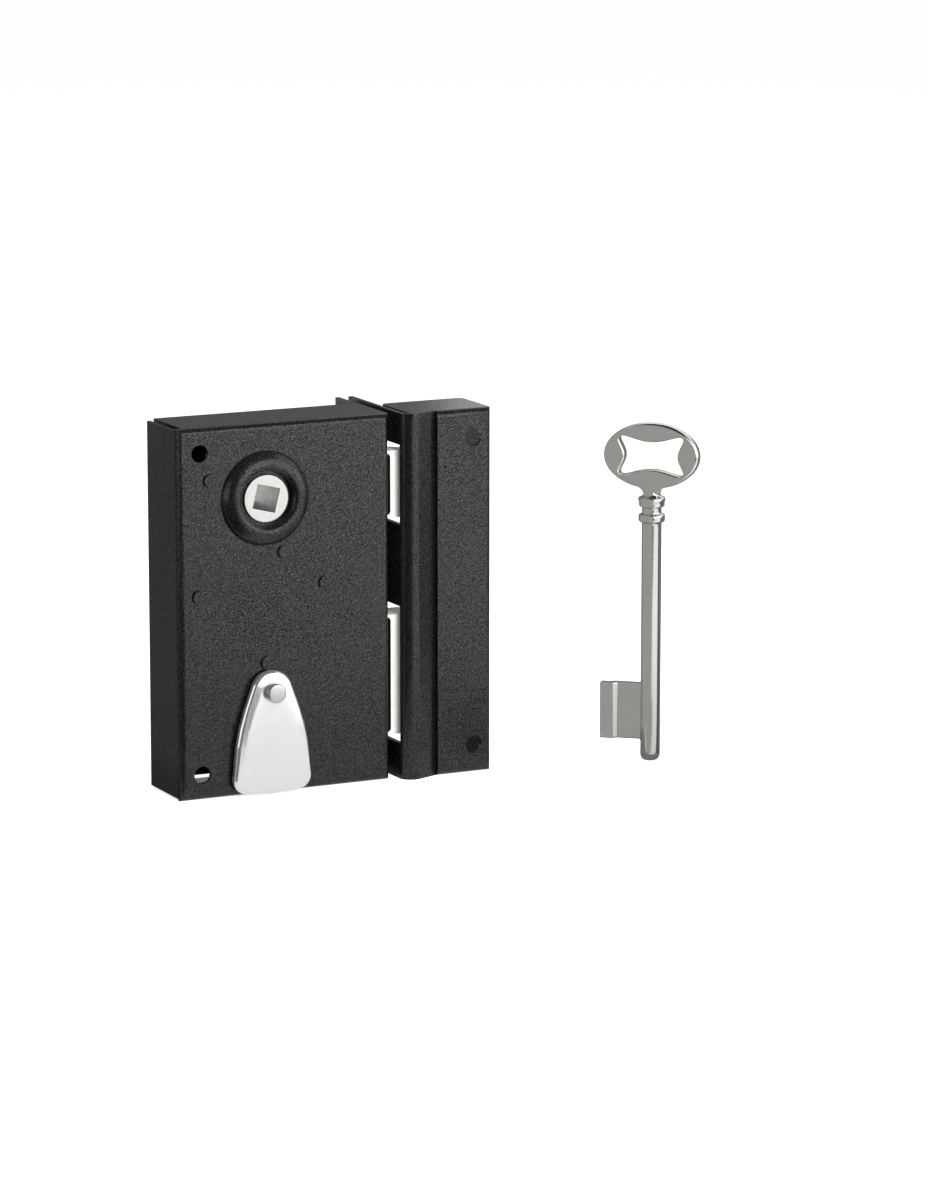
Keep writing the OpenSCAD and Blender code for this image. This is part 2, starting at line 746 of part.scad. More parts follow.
module dead_bolt() color(cast_zinc) in_lock() {
    difference() {
        union() {
            translate([bolt_x, bolt_y, bolt_z])
                cube([bolt_end - bolt_x, bolt_t, bolt_h]);
            translate([tail_x, tail_y, tail_z])
                cube([bolt_x - tail_x + cut, tail_t, tail_h]);
        }
        plate(tail_y - cut, bolt_back + cut) {
            for (x = [guide_at[0], guide_at[0] + bolt_throw])
                translate([x, guide_at[1]])
                    circle(guide_slot_r);
            translate([guide_at[0], guide_at[1] - guide_slot_r])
                square([bolt_throw, guide_slot_r * 2]);
            translate([talon_mid - talon_w / 2, tail_z - cut])
                square([talon_w, talon_top - tail_z + cut]);
            for (x = [detent_x, detent_x + bolt_throw])
                translate([x, tail_top])
                    polygon([[-detent_depth, 0], [0, -detent_depth], [detent_depth, 0], [0, cut]]);
        }
        front_recess(bolt_x + recess_rim, bolt_z, bolt_h);
    }
}

// Leaf that hangs from two pillars and dips into a notch of the tail, drawn along its middle
module bolt_detent_spring() color(spring_steel) in_lock() {
    hook = pillar_d / 2 + leaf_t / 2 + seat_gap;
    left = pillar_left_at;
    right = pillar_right_at;
    tip = [detent_x, tail_top - detent_depth + slide_gap * 3];
    dip = detent_depth * 2.2;
    route = [left + [-hook, 0], left + [-hook, -hook], left + [hook, -hook],
        tip + [-dip, dip], tip, tip + [dip, dip],
        right + [-hook, -hook], right + [hook, -hook], right + [hook, 0]];
    last = len(route) - 1;
    plate(tail_y + (tail_t - leaf_w) / 2, tail_y + (tail_t + leaf_w) / 2) {
        for (i = [0:last - 1])
            leaf_run(route[i], route[i + 1]);
        for (i = [1:last - 1])
            translate(route[i])
                circle(leaf_t / 2);
    }
}

// A straight stretch of the leaf between two points
module leaf_run(from, to) {
    run = to - from;
    translate(from)
        rotate(atan2(run[1], run[0]))
            translate([0, -leaf_t / 2])
                square([norm(run), leaf_t]);
}

// A disc with a round front rim, for the hull of the cover
module cover_puck(at, r, depth, rim) {
    translate([at[0], at[1], 0])
        rotate_extrude($fn = 48) {
            square([r - rim, depth]);
            square([r, depth - rim]);
            intersection() {
                translate([r - rim, depth - rim])
                    circle(rim, $fn = 24);
                square([r, depth]);
            }
        }
}

// Teardrop body of the cover, drawn in by a skin on every side but its open back
module cover_body(skin, depth) {
    rim = cover_rim_r - skin;
    corner_drop = cover_drop - cover_bow - cover_corner_r;
    corner_x = cover_half_w - cover_corner_r;
    bow_r = cover_half_w * 0.7;
    hull() {
        cover_puck([0, -cover_top_drop], cover_top_r - skin, depth, rim);
        cover_puck([0, -cover_shoulder_drop], cover_shoulder_r - skin, depth, rim);
        cover_puck([0, -cover_belly_drop], cover_belly_r - skin, depth, rim);
        cover_puck([0, -cover_hip_drop], cover_hip_r - skin, depth, rim);
        cover_puck([0, bow_r - cover_drop], bow_r - skin, depth, rim);
        for (side = [-1, 1])
            cover_puck([side * corner_x, -corner_drop], cover_corner_r - skin, depth, rim);
    }
}

module key_cover() color(bright_zinc) in_lock() {
    translate([cover_at[0], -cover_gap, cover_at[1]])
        rotate([90, 0, 0])
            difference() {
                cover_body(0, cover_depth);
                translate([0, 0, -cut])
                    cover_body(cover_t, cover_depth - cover_t + cut);
                translate([0, 0, -cut])
                    cylinder(d = cover_rivet_d + run_gap * 2, h = cover_depth + cut * 2);
            }
}

module key_cover_rivet() color(bright_zinc) in_lock() {
    head_y = cover_face + cover_play;
    bar_y(cover_at, cover_rivet_d / 2, -head_y - cover_head_h / 2, sheet + cover_rivet_tail_h / 2);
    bar_y(cover_at, cover_head_d / 2 + slide_gap, sheet, sheet + cover_rivet_tail_h);
    front_turn(cover_at, -head_y)
        round_head(cover_head_d / 2, cover_head_h, cover_head_rim);
}

// Half section of a rivet head with a round rim
module round_head(r, h, rim) {
    square([r - rim, h]);
    square([r, h - rim]);
    intersection() {
        translate([r - rim, h - rim])
            circle(rim);
        square([r, h]);
    }
}

module key_cover_spacer() color(bare_steel) in_lock() {
    inner = cover_rivet_d / 2 + seat_gap;
    difference() {
        bar_y(cover_at, inner + cover_spacer_wall, -cover_inner + cover_play, 0);
        bar_y(cover_at, inner, -cover_inner - cut, cut);
    }
}

// Plan of the strike's round nose and of the slope behind it
module nose_plan() {
    nose_end = nose_slope + nose_lap;
    around = keeper_nose_r * 2;
    intersection() {
        difference() {
            translate(nose_mid)
                circle(keeper_nose_r);
            translate(nose_mid)
                circle(keeper_nose_r - keeper_t);
        }
        polygon([nose_mid, [keeper_x - cut, nose_mid[1]], [keeper_x - cut, nose_mid[1] - around],
            nose_mid + around * [sin(nose_end), -cos(nose_end)]]);
    }
    translate(slope_start)
        rotate(atan2(slope_run[1], slope_run[0]))
            square([norm(slope_run) + slope_over, keeper_t]);
}

// Plan of the nose up to a distance from the strike's left face
module nose_part(reach) {
    intersection() {
        nose_plan();
        translate([keeper_x - cut, nose_mid[1] - keeper_nose_r * 2])
            square([reach + cut, keeper_nose_r * 4]);
    }
}

module keeper_strike() color(powder_black) in_lock() {
    difference() {
        union() {
            translate([0, 0, fold_r])
                linear_extrude(case_h - 2 * fold_r) {
                    nose_plan();
                    translate([slope_end_x - keeper_t, panel_back])
                        square([keeper_t + strike_lap, keeper_t]);
                }
            translate([0, 0, keeper_t])
                linear_extrude(case_h - 2 * keeper_t)
                    nose_part(slope_end_x - keeper_x - nose_bite);
            linear_extrude(case_h)
                nose_part(keeper_t + keeper_slit - slide_gap);
            translate([keeper_x, nose_mid[1], 0])
                cube([keeper_t, keeper_lip_end - nose_mid[1], case_h]);
        }
        keeper_mouth(latch_z, latch_h, latch_mouth_room);
        keeper_mouth(bolt_z, bolt_h, bolt_mouth_room);
        for (z = [lip_hole_inset, case_h - lip_hole_inset])
            translate([keeper_x - cut, keeper_lip_hole_y, z])
                rotate([0, 90, 0])
                    cylinder(d = lip_hole_d, h = keeper_t + cut * 2);
    }
}

// Mouth in the strike for a bolt, with room round it
module keeper_mouth(z, h, room) {
    translate([keeper_x - cut, mouth_y, z - room])
        cube([keeper_t + cut * 1.3, mouth_back - mouth_y, h + room * 2]);
}

// Plan of the keeper's top and bottom walls
module keeper_lid_plan() {
    intersection() {
        union() {
            translate([lid_x, nose_mid[1]])
                square([keeper_end - lid_x, keeper_back - nose_mid[1]]);
            translate(nose_mid)
                circle(keeper_nose_r);
            polygon([slope_start, [slope_end_x, panel_back], [slope_end_x, nose_mid[1] + cut],
                [nose_mid[0], nose_mid[1] + cut]]);
        }
        translate([lid_x, nose_mid[1] - keeper_nose_r * 2])
            square([keeper_end - fold_r - lid_x, keeper_back - nose_mid[1] + keeper_nose_r * 2]);
    }
}

// What a round takes off a back corner of the keeper's top or bottom wall, to the left or right
module lid_corner(at, side) {
    translate(at)
        difference() {
            translate([side > 0 ? 0 : -lid_corner_r - cut, 0])
                square(lid_corner_r + cut);
            circle(lid_corner_r);
        }
}

module keeper_cover() color(powder_black) in_lock() {
    inner_r = fold_r - keeper_t;
    corner_y = keeper_back - lid_corner_r;
    difference() {
        union() {
            difference() {
                fold_block(slope_end_x - fold_r * 2, keeper_end, 0, case_h, panel_y, keeper_back, fold_r);
                fold_block(slope_end_x - fold_r * 4, keeper_end - keeper_t, keeper_t, case_h - keeper_t,
                    panel_back, keeper_back + cut, inner_r);
                translate([slope_end_x - fold_r * 4, panel_y - cut, -cut])
                    cube([fold_r * 4, keeper_back - panel_y + cut * 2, case_h + cut * 2]);
            }
            for (z = [0, case_h - keeper_t])
                translate([0, 0, z])
                    linear_extrude(keeper_t)
                        keeper_lid_plan();
        }
        for (at = keeper_hole_ats)
            bar_y(at, keeper_hole_d / 2, panel_y - cut, panel_back + cut);
        for (z = [-cut, case_h - keeper_t])
            translate([0, 0, z])
                linear_extrude(keeper_t + cut) {
                    lid_corner([keeper_end - lid_corner_r, corner_y], 1);
                    lid_corner([lid_x + lid_corner_r, corner_y], -1);
                }
    }
}

module key() color(nickel) in_lock() {
    translate([case_w + key_out, -key_fore, 0])
        rotate([0, 0, key_turn]) {
            key_shank();
            key_bit();
            key_bow();
        }
}

module key_shank() {
    cylinder(d1 = shank_d - tip_l, d2 = shank_d, h = tip_l / 2);
    translate([0, 0, tip_l / 2])
        cylinder(d = shank_d, h = lower_collar[0] - tip_l / 2);
    translate([0, 0, lower_collar[0]])
        cylinder(d = lower_collar_d, h = lower_collar[1] - lower_collar[0]);
    translate([0, 0, lower_collar[1]])
        cylinder(d = neck_d, h = upper_collar[0] - lower_collar[1]);
    translate([0, 0, upper_collar[0]])
        cylinder(d = collar_d, h = upper_collar[1] - upper_collar[0]);
    translate([0, 0, upper_collar[1]])
        cylinder(d1 = neck_d, d2 = bow_t, h = bow_foot + bow_root - upper_collar[1]);
}

module key_bit() {
    translate([-bit_reach + land_w - bit_t / 2, -bit_t / 2, bit_start])
        cube([bit_reach - land_w + bit_t / 2, bit_t, bit_h]);
    translate([-bit_reach, -bit_t / 2 - land_step, bit_start])
        cube([land_w, bit_t, bit_h]);
}

module key_bow() {
    steps = 72;
    side_r = (pow(bow_hole_h / 2, 2) + pow(bow_hole_bow_x, 2)) / (2 * bow_hole_bow_x);
    long_r = (pow(bow_hole_w / 2, 2) + pow(bow_hole_bow_z, 2)) / (2 * bow_hole_bow_z);
    translate([0, 0, bow_mid])
        plate(-bow_t / 2, bow_t / 2)
            difference() {
                polygon([for (i = [0:steps - 1])
                    let (a = 360 * i / steps)
                    [bow_w / 2 * cos(a), bow_h / 2 * sin(a)]]);
                difference() {
                    square([bow_hole_w, bow_hole_h], center = true);
                    for (side = [-1, 1]) {
                        translate([side * (bow_hole_w / 2 - bow_hole_bow_x + side_r), 0])
                            circle(side_r);
                        translate([0, side * (bow_hole_h / 2 - bow_hole_bow_z + long_r)])
                            circle(long_r);
                    }
                }
            }
}

case_shell();
back_plate();
back_plate_screws();
pillar_top();
pillar_right();
pillar_left();
bolt_guide_pillar();
bracket_rivet();
latch_bracket();
hub();
latch_bolt();
latch_spring();
dead_bolt();
bolt_detent_spring();
key_cover();
key_cover_rivet();
key_cover_spacer();
keeper_strike();
keeper_cover();
key();
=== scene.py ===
"""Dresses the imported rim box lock: painted sheet, cast bolts, drawn cover, cast key and a white studio."""
import logging
import math
from contextlib import contextmanager
from dataclasses import dataclass
from enum import Enum
from typing import Any, Callable, Iterator

import bmesh
import bpy
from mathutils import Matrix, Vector


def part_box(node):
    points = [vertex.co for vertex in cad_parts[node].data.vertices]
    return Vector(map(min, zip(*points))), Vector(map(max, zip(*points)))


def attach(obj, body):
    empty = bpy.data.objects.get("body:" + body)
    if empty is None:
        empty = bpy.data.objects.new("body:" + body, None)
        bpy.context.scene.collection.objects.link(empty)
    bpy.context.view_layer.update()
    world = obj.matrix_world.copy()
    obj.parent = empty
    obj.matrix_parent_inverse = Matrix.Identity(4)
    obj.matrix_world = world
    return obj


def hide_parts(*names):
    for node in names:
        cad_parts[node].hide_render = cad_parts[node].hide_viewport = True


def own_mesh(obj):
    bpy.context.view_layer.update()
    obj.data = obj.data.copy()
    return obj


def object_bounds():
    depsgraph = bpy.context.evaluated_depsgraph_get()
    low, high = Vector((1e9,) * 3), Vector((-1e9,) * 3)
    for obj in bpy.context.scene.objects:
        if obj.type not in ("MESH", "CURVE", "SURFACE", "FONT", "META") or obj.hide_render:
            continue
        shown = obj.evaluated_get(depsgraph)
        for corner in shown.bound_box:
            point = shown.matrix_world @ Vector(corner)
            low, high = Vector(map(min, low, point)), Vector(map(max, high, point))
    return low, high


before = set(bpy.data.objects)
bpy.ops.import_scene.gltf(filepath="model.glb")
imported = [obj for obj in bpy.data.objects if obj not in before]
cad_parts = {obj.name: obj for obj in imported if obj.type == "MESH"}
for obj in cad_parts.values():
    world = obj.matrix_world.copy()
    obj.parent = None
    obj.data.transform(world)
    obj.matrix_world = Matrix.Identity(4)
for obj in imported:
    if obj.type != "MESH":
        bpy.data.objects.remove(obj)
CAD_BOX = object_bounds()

Piece = bpy.types.Object
Tree = bpy.types.NodeTree
Node = bpy.types.Node
Socket = bpy.types.NodeSocket
Pair = tuple[float, float]
Triple = tuple[float, float, float]
Pairs = tuple[Pair, ...]
Corners = tuple[Triple, ...]

LOG = logging.getLogger("rim_lock")
MM = 0.001

# Corners of a copied CAD mesh that lie closer than this are one, and again after its edges are rounded.
MERGE_MM = 0.002
MELT_MM = 0.001
# Faces that turn less than this from one to the next are one face.
FLAT_DEG = 0.5
# Slack of a test for points on a plane.
NEAR_MM = 0.01
# A face looks straight at a side when the cosine between them is over this.
STRAIGHT = 0.99
# A face is a wall along an axis when less than this of its normal points that way.
WALL = 0.5
# Corners of the strips that a bevel leaves, where a flat face has more.
QUAD = 4

# Noise behind the finishes, the spans of it that gloss and specks use, and its turn off the lock's axes.
CLOUD_NOISE = {"Detail": 3.0, "Roughness": 0.55}
GRAIN_NOISE = {"Detail": 2.0, "Roughness": 0.6}
GLOSS_SPAN = (0.25, 0.75)
SPECK_SPAN = (0.4, 0.6)
GRAIN_TURN = (0.6, 0.4, 0.3)
WHITE = "#ffffff"


class Side(Enum):
    """Which way a face looks in the lock's own axes."""

    FRONT = Vector((0.0, -1.0, 0.0))
    BACK = Vector((0.0, 1.0, 0.0))


# Materials


def linear(hex_colour: str) -> tuple[float, float, float, float]:
    """Turns an sRGB hex colour into the linear values that a shader takes.

    Args:
        hex_colour: Six hex digits with a leading hash.

    Returns:
        Linear red, green and blue with an alpha of one.
    """
    channels = [int(hex_colour[i:i + 2], 16) / 255 for i in (1, 3, 5)]
    bent = [c / 12.92 if c <= 0.04045 else ((c + 0.055) / 1.055) ** 2.4 for c in channels]
    return bent[0], bent[1], bent[2], 1.0


def add_node(tree: Tree, kind: str, values: dict[str | int, Any] | None = None, **options: Any) -> Node:
    """Adds a shader node with its options, values and links.

    Args:
        tree: The tree that gets the node.
        kind: Blender's name of the node type.
        values: Socket names with a constant, or with the socket that feeds them.
        options: Properties of the node itself.

    Returns:
        The new node.
    """
    node = tree.nodes.new(kind)
    for option, value in options.items():
        setattr(node, option, value)
    for socket, value in (values or {}).items():
        if isinstance(value, Socket):
            tree.links.new(value, node.inputs[socket])
        else:
            node.inputs[socket].default_value = value
    return node


def per_metre(size_mm: float) -> float:
    """Turns the size of a pattern's cell into a texture scale."""
    return 1.0 / (size_mm * MM)


def bare_material(name: str) -> bpy.types.Material:
    """Makes a node material that has no nodes yet.

    Args:
        name: Its name.

    Returns:
        The material.
    """
    material = bpy.data.materials.new(name)
    material.use_nodes = True
    material.node_tree.nodes.clear()
    return material


@dataclass(frozen=True)
class Finish:
    """A surface: what it is, its two tones and how its grain stands up.

    Attributes:
        name: What the real material is.
        dark: Tone in the dark of its clouds.
        light: Tone in the light of its clouds.
        metallic: Share of bare metal in it.
        smooth: Roughness where its gloss is best.
        rough: Roughness where its gloss is least.
        grain_mm: Size of its grain.
        grain_depth_mm: Depth of its grain.
        cloud_mm: Size of its clouds.
        stretch: Scale of the grain along each axis, where a small one draws it out into lines.
        specular: Strength of its sheen.
    """

    name: str
    dark: str
    light: str
    metallic: float
    smooth: float
    rough: float
    grain_mm: float
    grain_depth_mm: float
    cloud_mm: float
    stretch: Triple = (1.0, 1.0, 1.0)
    specular: float = 0.5

    def build(self) -> bpy.types.Material:
        """Makes the material: changes of tone, a stretched grain in the gloss and a bump.

        Returns:
            The node material.
        """
        material = bare_material(self.name)
        tree = material.node_tree
        place = add_node(tree, "ShaderNodeTexCoord").outputs["Object"]
        along = add_node(tree, "ShaderNodeMapping", {
            "Vector": place, "Scale": self.stretch, "Rotation": GRAIN_TURN})
        cloud = add_node(tree, "ShaderNodeTexNoise", {
            "Vector": place, "Scale": per_metre(self.cloud_mm), **CLOUD_NOISE})
        grain = add_node(tree, "ShaderNodeTexNoise", {
            "Vector": along.outputs["Vector"], "Scale": per_metre(self.grain_mm), **GRAIN_NOISE})
        tone = add_node(tree, "ShaderNodeMix", {
            "Factor": self.shade(tree, cloud, grain), "A": linear(self.dark), "B": linear(self.light)},
            data_type="RGBA")
        gloss = add_node(tree, "ShaderNodeMapRange", {
            "Value": grain.outputs["Fac"], "From Min": GLOSS_SPAN[0], "From Max": GLOSS_SPAN[1],
            "To Min": self.smooth, "To Max": self.rough})
        bump = add_node(tree, "ShaderNodeBump", {
            "Height": self.height(tree, place, grain), "Distance": self.grain_depth_mm * MM,
            "Strength": 1.0})
        shader = add_node(tree, "ShaderNodeBsdfPrincipled", {
            "Base Color": tone.outputs["Result"], "Metallic": self.metallic,
            "Roughness": gloss.outputs["Result"], "Specular IOR Level": self.sheen(tree, grain),
            "Normal": bump.outputs["Normal"]})
        add_node(tree, "ShaderNodeOutputMaterial", {"Surface": shader.outputs["BSDF"]})
        return material

    def height(self, tree: Tree, place: Socket, grain: Node) -> Socket:
        """Gives the height that the bump follows, here the grain itself."""
        return grain.outputs["Fac"]

    def shade(self, tree: Tree, cloud: Node, grain: Node) -> Socket:
        """Gives the mix of the two tones, here the clouds."""
        return cloud.outputs["Fac"]

    def sheen(self, tree: Tree, grain: Node) -> float | Socket:
        """Gives the strength of the sheen, here the same everywhere."""
        return self.specular


@dataclass(frozen=True)
class TexturedCoat(Finish):
    """Powder coat: baked grains that flow together into small rounded pimples.

    Attributes:
        pimple_mm: Size of the pimples.
        pimple_melt: How far the pimples flow together.
        speckle: How far the sheen of pits and tops goes from the middle, as a share of it.
    """

    pimple_mm: float = 0.85
    pimple_melt: float = 0.6
    speckle: float = 0.75

    def specks(self, tree: Tree, grain: Node, low: float, high: float) -> Socket:
        """Turns the fine grain into specks between two values.

        Args:
            tree: The material's tree.
            grain: The fine grain's noise.
            low: Value in the pits.
            high: Value on the tops.

        Returns:
            The socket with the specks.
        """
        return add_node(tree, "ShaderNodeMapRange", {
            "Value": grain.outputs["Fac"], "From Min": SPECK_SPAN[0], "From Max": SPECK_SPAN[1],
            "To Min": low, "To Max": high}).outputs["Result"]

    def shade(self, tree: Tree, cloud: Node, grain: Node) -> Socket:
        """Makes the pits dark and the tops of the grain light."""
        return self.specks(tree, grain, 0.0, 1.0)

    def sheen(self, tree: Tree, grain: Node) -> Socket:
        """Makes the pits dull and the tops of the grain shine."""
        return self.specks(tree, grain, self.specular * (1 - self.speckle),
                           self.specular * (1 + self.speckle))

    def height(self, tree: Tree, place: Socket, grain: Node) -> Socket:
        """Sets rounded pimples among the fine grain.

        Args:
            tree: The material's tree.
            place: Object coordinates.
            grain: The fine grain's noise.

        Returns:
            The height socket.
        """
        pimples = add_node(tree, "ShaderNodeTexVoronoi", {
            "Vector": place, "Scale": per_metre(self.pimple_mm), "Smoothness": self.pimple_melt},
            feature="SMOOTH_F1")
        mixed = add_node(tree, "ShaderNodeMath", {0: grain.outputs["Fac"], 1: pimples.outputs["Distance"]},
                         operation="SUBTRACT")
        return mixed.outputs["Value"]


class Finishes:
    """The lock's finishes, each made once."""

    # Powder coat on folded steel: near-black with a leathery grain that breaks up every highlight.
    # The pimples are drawn a little coarser than real, so that they still show from the camera.
    POWDER = TexturedCoat("powder_coated_steel", "#080808", "#1e1e1f", metallic=0.0, smooth=0.18, rough=0.28,
                          grain_mm=0.34, grain_depth_mm=0.025, cloud_mm=9.0, specular=0.52)
    # Bright zinc plate on drawn steel: near-white metal, smooth, with faint rolling lines.
    ZINC = Finish("bright_zinc_plate", "#f4f4f5", "#fcfcfd", metallic=0.88, smooth=0.14, rough=0.19,
                  grain_mm=0.6, grain_depth_mm=0.002, cloud_mm=6.0, stretch=(1.0, 1.0, 0.08))
    # Zinc alloy from the die: pale, a little warm, with a soft cast skin.
    CAST = Finish("cast_zinc_alloy", "#efeee9", "#f8f7f3", metallic=0.35, smooth=0.34, rough=0.5,
                  grain_mm=0.4, grain_depth_mm=0.02, cloud_mm=4.0)
    # Painted shade in the hollows of the bolts: zinc alloy coloured nearly black, with a dull shine.
    HOLLOW_SHADE = Finish("shade_darkened_zinc_alloy", "#0c0c0b", "#1a1a18", metallic=0.0, smooth=0.35, rough=0.55,
                    grain_mm=0.6, grain_depth_mm=0.02, cloud_mm=3.0, specular=0.3)
    # Zinc alloy faced by a tool, on the hub and on the rivet's head: pale and mottled.
    FACED = Finish("faced_zinc_alloy", "#c8c7c4", "#e0dfdd", metallic=1.0, smooth=0.26, rough=0.44,
                   grain_mm=0.25, grain_depth_mm=0.014, cloud_mm=1.1, stretch=(1.0, 1.0, 0.25))
    # Broached bore of the hub: the same alloy, greyer and scored along the square.
    BORE = Finish("broached_zinc_alloy", "#aeaead", "#f2f2f0", metallic=1.0, smooth=0.24, rough=0.38,
                  grain_mm=0.5, grain_depth_mm=0.03, cloud_mm=2.2, stretch=(1.0, 0.1, 1.0))
    # Cold rolled steel, oiled: grey, with rolling lines up the sheet.
    STEEL = Finish("oiled_rolled_steel", "#7d7f83", "#94969a", metallic=1.0, smooth=0.28, rough=0.44,
                   grain_mm=0.5, grain_depth_mm=0.006, cloud_mm=7.0, stretch=(1.0, 1.0, 0.06))
    # Blued spring steel: dark grey and fairly smooth.
    SPRING = Finish("blued_spring_steel", "#44464c", "#585a61", metallic=1.0, smooth=0.22, rough=0.34,
                    grain_mm=0.5, grain_depth_mm=0.004, cloud_mm=3.0)
    # Nickel plate over a casting: warm grey and glossy, the tumbled casting still shows under it.
    NICKEL = Finish("nickel_plated_casting", "#d2d0cc", "#dedcd8", metallic=1.0, smooth=0.11, rough=0.18,
                    grain_mm=1.4, grain_depth_mm=0.01, cloud_mm=5.0)

    def __init__(self) -> None:
        """Starts with nothing made."""
        self._made: dict[str, bpy.types.Material] = {}

    def of(self, finish: Finish) -> bpy.types.Material:
        """Gives the material of a finish, made at its first use."""
        if finish.name not in self._made:
            self._made[finish.name] = finish.build()
        return self._made[finish.name]


# Modelling by hand


def pick(*objects: Piece) -> None:
    """Selects these objects alone and makes the first one active."""
    bpy.ops.object.select_all(action="DESELECT")
    for piece in objects:
        piece.select_set(True)
    bpy.context.view_layer.objects.active = objects[0]


@contextmanager
def editing(piece: Piece, mode: str = "FACE") -> Iterator[None]:
    """Opens a piece in edit mode with nothing selected, and closes it again.

    Args:
        piece: The piece to edit.
        mode: VERT, EDGE or FACE.

    Yields:
        Nothing.
    """
    pick(piece)
    bpy.ops.object.mode_set(mode="EDIT")
    bpy.ops.mesh.select_mode(type=mode)
    bpy.ops.mesh.select_all(action="DESELECT")
    yield
    bpy.ops.object.mode_set(mode="OBJECT")


def choose_faces(piece: Piece, wanted: Callable[[bmesh.types.BMFace], bool]) -> None:
    """Selects the faces of a piece in edit mode that a test accepts.

    Args:
        piece: A piece in edit mode.
        wanted: The test.
    """
    shape = bmesh.from_edit_mesh(piece.data)
    for face in shape.faces:
        face.select_set(wanted(face))
    bmesh.update_edit_mesh(piece.data)


def choose_edges(piece: Piece, wanted: Callable[[bmesh.types.BMEdge], bool]) -> None:
    """Selects the edges of a piece in edit mode that a test accepts.

    Args:
        piece: A piece in edit mode.
        wanted: The test.
    """
    shape = bmesh.from_edit_mesh(piece.data)
    for edge in shape.edges:
        edge.select_set(wanted(edge))
    bmesh.update_edit_mesh(piece.data)


def looks(face: bmesh.types.BMFace, side: Side) -> bool:
    """Says whether a face looks straight at one side."""
    return face.normal.dot(side.value) > STRAIGHT


def apply_modifier(piece: Piece, kind: str, **settings: Any) -> None:
    """Adds a modifier with its settings and applies it at once.

    Args:
        piece: The piece it works on.
        kind: Blender's name of the modifier type.
        settings: The modifier's properties.
    """
    pick(piece)
    modifier = piece.modifiers.new(kind.lower(), kind)
    for name, value in settings.items():
        setattr(modifier, name, value)
    bpy.ops.object.modifier_apply(modifier=modifier.name)


def cut_with(piece: Piece, tool: Piece, operation: str = "DIFFERENCE") -> None:
    """Takes a tool's shape out of a piece, or joins it on, and throws the tool away.

    Args:
        piece: The piece that is changed.
        tool: The closed shape to cut or join with.
        operation: DIFFERENCE or UNION.
    """
    apply_modifier(piece, "BOOLEAN", object=tool, operation=operation, solver="EXACT")
    bpy.data.objects.remove(tool)


def settle(piece: Piece, name: str, smooth_deg: float = 35.0) -> Piece:
    """Names a finished piece, puts its place into its mesh and smooths it by angle.

    Args:
        piece: The finished piece.
        name: Its name in the table.
        smooth_deg: Edges sharper than this stay crisp.

    Returns:
        The same piece.
    """
    pick(piece)
    bpy.ops.object.transform_apply(location=True, rotation=True, scale=True)
    bpy.ops.object.shade_smooth_by_angle(angle=math.radians(smooth_deg))
    piece.name = name
    piece.data.name = name
    return piece


def extruded(corners: list[Triple], along: Triple) -> Piece:
    """Makes a closed solid by extruding a flat outline.

    Args:
        corners: The outline's corners in metres, in order.
        along: The way that it is extruded.

    Returns:
        The solid.
    """
    bpy.ops.object.select_all(action="DESELECT")
    bpy.ops.mesh.primitive_circle_add(vertices=len(corners), radius=1.0, fill_type="NGON")
    piece = bpy.context.active_object
    for vertex, corner in zip(piece.data.vertices, corners):
        vertex.co = corner
    with editing(piece):
        bpy.ops.mesh.select_all(action="SELECT")
        bpy.ops.mesh.extrude_region_move(TRANSFORM_OT_translate={"value": along})
        bpy.ops.mesh.select_all(action="SELECT")
        bpy.ops.mesh.normals_make_consistent(inside=False)
    return piece


def outline_plate(points: list[Pair], y_front: float, y_back: float) -> Piece:
    """Makes a closed plate from an outline in X and Z, in metres, between two places along Y."""
    return extruded([(x, y_back, z) for x, z in points], (0.0, y_front - y_back, 0.0))


def turned_bar(at: Vector, stations: list[Pair], sides: int = 64) -> Piece:
    """Makes a round bar up Z by extruding a ring from station to station.

    Args:
        at: Foot of the axis.
        stations: Height above the foot and radius of each ring, in metres, from the foot up.
        sides: Number of sides.

    Returns:
        The closed bar.
    """
    bpy.ops.object.select_all(action="DESELECT")
    z, r = stations[0]
    bpy.ops.mesh.primitive_circle_add(vertices=sides, radius=r, fill_type="NGON",
                                      location=at + Vector((0.0, 0.0, z)))
    piece = bpy.context.active_object
    with editing(piece):
        bpy.ops.mesh.select_all(action="SELECT")
        for z_next, r_next in stations[1:]:
            bpy.ops.mesh.extrude_region_move(TRANSFORM_OT_translate={"value": (0.0, 0.0, z_next - z)})
            grow = r_next / r
            bpy.ops.transform.resize(value=(grow, grow, 1.0),
                                     center_override=at + Vector((0.0, 0.0, z_next)))
            z, r = z_next, r_next
        bpy.ops.mesh.select_all(action="SELECT")
        bpy.ops.mesh.normals_make_consistent(inside=False)
    return piece


